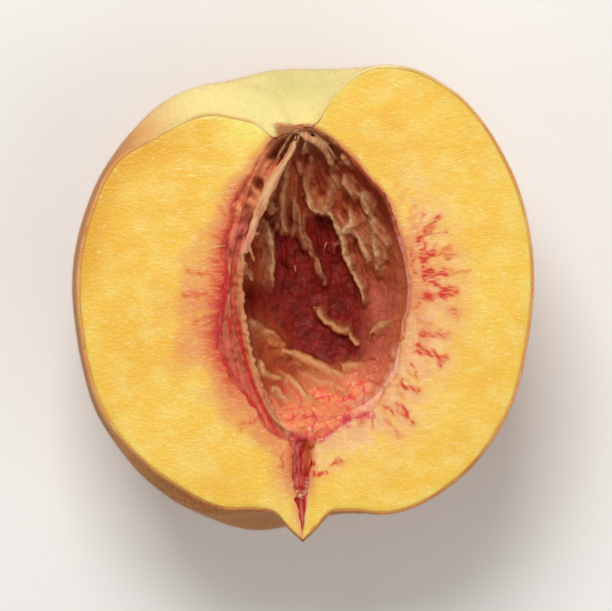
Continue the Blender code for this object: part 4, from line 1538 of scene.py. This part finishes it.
def paint_skin(obj):
    """Stores where the skin is stem cavity, speckled, painted with shade, torn or beside the cut."""
    points = in_fruit(obj)
    x, y, z = points.T
    reach = np.linalg.norm(points, axis=1)
    swing = np.degrees(np.arccos(np.clip(-y / np.maximum(reach, 1e-6), -1, 1)))
    turn = np.degrees(np.arctan2(-z, -x))
    outside = ease(skin_radius(swing, np.clip(turn, 0.0, 180.0)) - reach, 0.3, 0.1)
    off_floor = ease(z + CUT_HEIGHT, 0.6, 1.5)
    # flank and bottom mark where shade is painted on the skin; the rest of the underside gets a lighter
    # painted shade.
    flank = ease(x, -22.0, -31.0) * between(z, -30.0, -16.0, -2.5, -0.4)
    bottom = ease(y, -16.0, -29.0) * ease(z, -30.0, -14.0)
    torn_end = ease(z, -2.5, -0.6) * ease(np.abs(x + 1.2 + 0.3 * ripple(points, 1.0, 84)), 4.4, 2.0)
    # The cavity's far edge is painted greener deeper down: partly the skin's own greener colour, partly
    # painted shade.
    cavity_edge = between(swing, 148.0, 162.0, 168.0, 178.0) * ease(z, -0.5, -5.0)
    green = cavity_edge * ease(np.abs(x + 1.0), 12.0, 2.0)
    paint(obj,
          stem=ease(swing, 131.0, 152.0) * (0.25 + 0.75 * ease(z, -24.0, -9.0)),
          green=0.7 * green,
          shade=np.maximum(np.maximum(bottom, flank), 0.25 * ease(z, -1.2, -8.0)),
          torn_end=torn_end * ease(y, 27.4, 26.6),
          scar=torn_end * hump(y - 0.12 * ripple(points, 1.0, 76), 26.95, 0.24),
          speckled=(0.35 + 0.65 * patches(points, 7.0, 37, -0.8, 1.0)) * ease(swing, 148.0, 128.0),
          edge=0.6 * ease(z, -0.3, -0.05) * ease(swing, 176.0, 160.0) * patches(points, 4.0, 36),
          relief=outside * ease(z, -0.1, -0.8) * off_floor,
          downy=outside * ease(z, -0.02, -0.25) * off_floor)


def build_skin(colours):
    obj = mesh_object("velvet_skin", *skin_shape())
    paint_skin(obj)
    add_tree(obj, relief_tree(), Wide_Size=9.0, Wide_Height=0.22, Fine_Size=1.4, Fine_Height=0.05, Seed=3.0,
             Material=skin_material(colours))
    return belongs(settle(obj))


def build_down(sizes, colours):
    """Grows two coats of short hairs and one of long hairs on the finished skin."""
    skin = bpy.data.objects["velvet_skin"]
    material = plain_material("skin_down", colours.down, Roughness=0.6, Sheen_Weight=0.3)
    for name, density, length, seed in DOWN_COATS:
        obj = new_object(name, skin.data.copy())
        add_tree(obj, down_tree(), Density=density * sizes.down_amount,
                 Hair_Length=sizes.down_length * length, Hair_Width=sizes.down_width, Lean=0.75, Seed=seed,
                 Material=material)
        belongs(settle(obj))


# ---------------------------------------------------------------------------
# Threads on the cut face

def fibre_ends(count):
    """Short torn fibre ends scattered over the cut face: the points and the girth of each."""
    rng = np.random.default_rng(SEED + 50)
    edge_at = edge_finder(400)
    for _ in range(count):
        angle = rng.uniform(0.0, 360.0)
        if rng.random() < 0.35:
            angle = rng.uniform(110.0, 250.0)
        inner = float(round_curve(FLESH_RIM_RADII, angle)) + 1.2
        outer = float(edge_at(angle)) - 0.8
        if outer < inner + 1.0:
            continue
        reach = math.sqrt(rng.uniform(inner**2, outer**2))
        x = STONE_MIDDLE[0] + reach * math.cos(math.radians(angle))
        y = STONE_MIDDLE[1] + reach * math.sin(math.radians(angle))
        turn = rng.normal(0.15, 0.28)
        half = rng.uniform(0.12, 0.6)
        bend = rng.normal(0.0, 0.08)
        dx, dy = math.cos(turn) * half, math.sin(turn) * half
        line = [(x - dx, y - dy, 0.0), (x - bend * dy, y + bend * dx, 0.03), (x + dx, y + dy, 0.0)]
        yield line, rng.uniform(0.3, 0.7)


def build_threads(sizes, colours):
    """Pale vein threads and short torn fibre ends lying on the cut face."""
    lines = [([(x, y, 0.02) for x, y in line], girth) for girth, *line in THREADS]
    lines += fibre_ends(sizes.torn_fibres)
    points, edges, girths = [], [], []
    for line, girth in lines:
        edges += [(len(points) + i, len(points) + i + 1) for i in range(len(line) - 1)]
        points += line
        girths += [girth] * len(line)
    mesh = bpy.data.meshes.new("flesh_threads")
    mesh.from_pydata(fruit_to_frame(points).tolist(), edges, [])
    obj = new_object("flesh_threads", mesh)
    paint(obj, girth=girths)
    material = plain_material("flesh_thread", colours.thread, Roughness=0.3, Subsurface_Weight=0.3,
                              Subsurface_Scale=0.001)
    add_tree(obj, thread_tree(), Thickness=sizes.thread_width, Spacing=0.0003, Wander=0.00022, Seed=4.0,
             Material=material)
    settle(obj)
    obj.data.shade_smooth()
    return belongs(obj)


# ---------------------------------------------------------------------------
# The stage

def build_stage(studio):
    """A pale floor, soft studio light and a camera looking straight down on the cut face."""
    scene = bpy.context.scene
    half = 2.0
    corners = ((-half, -half, 0.0), (half, -half, 0.0), (half, half, 0.0), (-half, half, 0.0))
    floor_mesh = bpy.data.meshes.new("floor")
    floor_mesh.from_pydata(corners, [], [(0, 1, 2, 3)])
    floor = new_object("floor", floor_mesh)
    floor.location.z = CAD_BOX[0][2]
    painted = Paint("pale_floor", studio.floor)
    painted.lay(tint(226, 224, 220), mottle(60.0, seed=61.0), 0.15)
    set_inputs(painted.shader, {"Roughness": 0.75})
    floor_mesh.materials.append(painted.material)

    middle = Vector(FRUIT_MIDDLE)
    for name, place, size, share in (("key", (-0.12, 0.55, 0.75), 0.45, 1.0),
                                     ("fill", (0.45, -0.35, 0.60), 0.7, 0.28),
                                     ("side", (-0.60, -0.15, 0.45), 0.6, 0.07)):
        light = bpy.data.lights.new(name, "AREA")
        light.energy = studio.key_power * share
        light.size = size
        lamp = new_object(name, light)
        lamp.location = middle + Vector(place)
        lamp.rotation_euler = (-Vector(place)).to_track_quat("-Z", "Y").to_euler()

    world = bpy.data.worlds.new("studio")
    world.use_nodes = True
    set_inputs(world.node_tree.nodes["Background"],
               {"Color": (1.0, 0.99, 0.97, 1.0), "Strength": studio.ambient})
    scene.world = world
    scene.view_settings.view_transform = "Standard"

    view = bpy.data.cameras.new("camera")
    view.sensor_width = 36.0
    view.clip_start = 0.01
    view.lens = view.sensor_width * studio.camera_distance / studio.frame_width
    camera = new_object("camera", view)
    camera.location = middle + Vector((0.46 * MM, -0.53 * MM, studio.camera_distance))
    scene.camera = camera


# ---------------------------------------------------------------------------
# Settings, operators and panel

class PeachSizes(bpy.types.PropertyGroup):
    """Sizes that change the look of the fruit without changing its outline."""

    cut_wave: FloatProperty(name="Cut waviness", description="Height of the broad waves of the cut face",
                            default=0.00010, unit="LENGTH", precision=5)
    cut_grain: FloatProperty(name="Cut grain", description="Height of the fine grain of the cut face",
                             default=0.00003, unit="LENGTH", precision=5)
    hollow_grain: FloatProperty(name="Hollow grain", description="Finest detail kept in the hollow's shape",
                                default=0.00021, unit="LENGTH", precision=5)
    down_amount: FloatProperty(name="Down amount", description="Share of the full coat of down", default=1.0)
    down_length: FloatProperty(name="Down length", description="Length of a short hair", default=0.0005,
                               unit="LENGTH", precision=5)
    down_width: FloatProperty(name="Down width", description="Radius of a hair at its root", default=0.000014,
                              unit="LENGTH", precision=6)
    torn_fibres: IntProperty(name="Torn fibres", description="Number of short fibre ends on the cut face",
                             default=260)
    thread_width: FloatProperty(name="Thread width", description="Radius of the thickest thread",
                                default=0.00006, unit="LENGTH", precision=6)


def colour_property(name, description, red, green, blue):
    return FloatVectorProperty(name=name, description=description, default=tint(red, green, blue),
                               subtype="COLOR", min=0.0, max=1.0)


class PeachColours(bpy.types.PropertyGroup):
    """Colours of the flesh, the hollow and the skin."""

    flesh: colour_property("Flesh", "Main colour of the cut flesh", 252, 206, 84)
    flesh_deep: colour_property("Deep flesh", "Darker patches of the flesh", 243, 186, 62)
    flesh_pale: colour_property("Pale flesh", "Paler patches and fine streaks", 254, 226, 132)
    flesh_light: colour_property("Light flesh", "Lightest flesh, beside the stem", 255, 240, 128)
    flesh_golden: colour_property("Golden flesh", "Flesh just under the shoulder's skin", 232, 168, 44)
    cream: colour_property("Cream flesh", "Flesh in a ring about the hollow", 252, 202, 148)
    # Colour of the pale flecks, partly fibre and partly painted wet glints.
    fleck_glint: colour_property("Flecks", "Tiny pale fibre flecks and painted wet glints", 255, 244, 190)
    pads: colour_property("Pads", "Paler pads between the streaks", 244, 185, 129)
    blush: colour_property("Blush", "Pink-orange flush beside the hollow", 232, 146, 96)
    scarlet: colour_property("Scarlet", "Red streaks", 216, 58, 34)
    crimson: colour_property("Crimson", "Torn edge of the flesh", 198, 50, 52)
    skin_line: colour_property("Skin line", "Thin line of flesh under the skin", 222, 150, 78)
    hollow_dark: colour_property("Hollow dark", "Deepest red of the hollow", 92, 10, 6)
    hollow_red: colour_property("Hollow red", "Mid red of the hollow", 138, 28, 18)
    net: colour_property("Net", "Fine net of veins in the hollow", 196, 44, 52)
    salmon: colour_property("Salmon", "Lower bed of the hollow", 255, 154, 100)
    pink: colour_property("Pink", "Pink patches of the lower bed", 252, 128, 122)
    ridge_face: colour_property("Ridge face", "Broad faces of the ridges", 166, 92, 58)
    cell: colour_property("Bed cells", "Raised cells of the hollow's bed", 132, 44, 32)
    tan_wall: colour_property("Tan wall", "Left wall of the hollow towards the tip", 176, 86, 46)
    magenta: colour_property("Magenta", "Dark pink core lines", 214, 62, 82)
    upper_wall: colour_property("Upper wall", "Walls of the hollow near the stem", 192, 96, 54)
    stem_fibre: colour_property("Stem fibre", "Fibres at the stem end", 170, 112, 62)
    ridge_pale: colour_property("Ridge pale", "Upper parts of the ridges", 212, 154, 106)
    ridge_warm: colour_property("Warm ridge face", "Faces of the ridges towards the tip", 206, 128, 72)
    low_net: colour_property("Low net", "Pink lines of the lower bed", 234, 52, 78)
    # Colour of the painted wet sheen along the hollow's right rim.
    lip: colour_property("Lip", "Painted wet sheen at the right edge of the hollow", 206, 132, 122)
    red_line: colour_property("Red line", "Red lines beside the strand", 206, 48, 48)
    strand_grain: colour_property("Strand grain", "Darker fibres of the strand", 196, 116, 84)
    # Cream of the lower bed, used both for its pale patches and for painted highlights.
    low_cream: colour_property("Low cream", "Cream patches and painted highlights of the lower bed", 255, 196, 160)
    rosy: colour_property("Rosy side", "Rosy right side of the hollow", 226, 124, 94)
    strand_low: colour_property("Lower strand", "Strand beside the hollow, lower part", 208, 142, 92)
    cleft_deep: colour_property("Cleft", "Inside of the cleft", 178, 42, 34)
    cleft_orange: colour_property("Cleft side", "Right side of the cleft", 214, 108, 54)
    cleft_fibre: colour_property("Cleft fibres", "Fibres in the cleft", 216, 120, 106)
    shred: colour_property("Shreds", "Pale shreds across the cleft", 240, 206, 168)
    flap: colour_property("Pink shreds", "Pink torn flesh where the strand ends", 240, 130, 130)
    # Crest colour, partly the ridges' pale tissue and partly a painted highlight.
    crest: colour_property("Crest", "Pale crests of the ridges, partly painted highlight", 242, 204, 148)
    wall: colour_property("Wall", "Smooth wall at the right of the hollow", 222, 122, 78)
    torn_pink: colour_property("Torn pink", "Torn membrane on the ledge", 206, 106, 78)
    torn_high: colour_property("High torn flesh", "Torn flesh beside the strand's upper half", 232, 150, 100)
    strand: colour_property("Strand", "Pale strand beside the hollow", 228, 180, 128)
    skin: colour_property("Skin", "Main colour of the skin", 228, 156, 74)
    skin_rose: colour_property("Rosy skin", "Rosy patches of the skin", 232, 146, 92)
    skin_pale: colour_property("Pale skin", "Pale patches of the skin", 250, 210, 140)
    # Painted shade colour for the skin's flank, tip end and underside.
    painted_skin_shade: colour_property("Painted skin shade", "Painted shade on the flank, the tip end and the underside", 158, 86, 14)
    skin_stem: colour_property("Stem skin", "Skin in the stem cavity", 250, 228, 150)
    # Greener skin colour at the stem cavity's edge, partly painted shade.
    skin_green: colour_property("Green skin", "Greener skin at the stem cavity's edge, partly painted shade", 206, 202, 126)
    skin_speck: colour_property("Specks", "Fine red specks of the skin", 206, 84, 42)
    down: colour_property("Down", "Hairs of the skin", 206, 150, 84)
    thread: colour_property("Thread", "Vein threads and fibre ends", 254, 226, 140)


class PeachStudio(bpy.types.PropertyGroup):
    """Floor, lights and camera."""

    floor: colour_property("Floor", "Colour of the floor", 246, 244, 240)
    key_power: FloatProperty(name="Key power", description="Power of the main light", default=6.3,
                             unit="POWER")
    ambient: FloatProperty(name="Ambient", description="Strength of the light from all round", default=0.28)
    camera_distance: FloatProperty(name="Camera distance", default=0.9, unit="LENGTH",
                                   description="Height of the camera over the cut face")
    frame_width: FloatProperty(name="Frame width", description="Width seen at the cut face", default=0.09315,
                               unit="LENGTH", precision=5)


class PEACH_OT_flesh(bpy.types.Operator):
    """Make the cut flesh"""

    bl_idname = "peach.flesh"
    bl_label = "Cut flesh"

    def execute(self, context):
        build_flesh(context.scene.peach_sizes, context.scene.peach_colours)
        return {"FINISHED"}


class PEACH_OT_hollow(bpy.types.Operator):
    """Make the torn bed of the stone's hollow"""

    bl_idname = "peach.hollow"
    bl_label = "Stone hollow"

    def execute(self, context):
        build_hollow(context.scene.peach_sizes, context.scene.peach_colours)
        return {"FINISHED"}


class PEACH_OT_skin(bpy.types.Operator):
    """Make the skin"""

    bl_idname = "peach.skin"
    bl_label = "Skin"

    def execute(self, context):
        build_skin(context.scene.peach_colours)
        return {"FINISHED"}


class PEACH_OT_down(bpy.types.Operator):
    """Grow the down on the skin"""

    bl_idname = "peach.down"
    bl_label = "Down"

    def execute(self, context):
        build_down(context.scene.peach_sizes, context.scene.peach_colours)
        return {"FINISHED"}


class PEACH_OT_threads(bpy.types.Operator):
    """Lay the vein threads and torn fibre ends on the cut face"""

    bl_idname = "peach.threads"
    bl_label = "Flesh threads"

    def execute(self, context):
        build_threads(context.scene.peach_sizes, context.scene.peach_colours)
        return {"FINISHED"}


class PEACH_OT_stage(bpy.types.Operator):
    """Set up the floor, the lights and the camera"""

    bl_idname = "peach.stage"
    bl_label = "Stage"

    def execute(self, context):
        build_stage(context.scene.peach_studio)
        return {"FINISHED"}


class PEACH_PT_panel(bpy.types.Panel):
    """Sizes, colours and pieces of the peach half"""

    bl_idname = "PEACH_PT_panel"
    bl_label = "Peach Half"
    bl_space_type = "VIEW_3D"
    bl_region_type = "UI"
    bl_category = "Peach"

    def draw(self, context):
        scene = context.scene
        for group in (scene.peach_sizes, scene.peach_colours, scene.peach_studio):
            column = self.layout.column()
            for key in group.__annotations__:
                column.prop(group, key)
        for operator in OPERATORS:
            self.layout.operator(operator.bl_idname)


GROUPS = (PeachSizes, PeachColours, PeachStudio)
OPERATORS = (PEACH_OT_stage, PEACH_OT_flesh, PEACH_OT_hollow, PEACH_OT_skin, PEACH_OT_threads, PEACH_OT_down)


def register():
    for cls in GROUPS + OPERATORS + (PEACH_PT_panel,):
        bpy.utils.register_class(cls)
    bpy.types.Scene.peach_sizes = PointerProperty(type=PeachSizes)
    bpy.types.Scene.peach_colours = PointerProperty(type=PeachColours)
    bpy.types.Scene.peach_studio = PointerProperty(type=PeachStudio)


def unregister():
    for name in ("peach_sizes", "peach_colours", "peach_studio"):
        delattr(bpy.types.Scene, name)
    for cls in reversed(GROUPS + OPERATORS + (PEACH_PT_panel,)):
        bpy.utils.unregister_class(cls)


def main():
    register()
    bpy.ops.peach.stage()
    bpy.ops.peach.flesh()
    bpy.ops.peach.hollow()
    bpy.ops.peach.skin()
    bpy.ops.peach.threads()
    bpy.ops.peach.down()


if __name__ == "__main__":
    main()
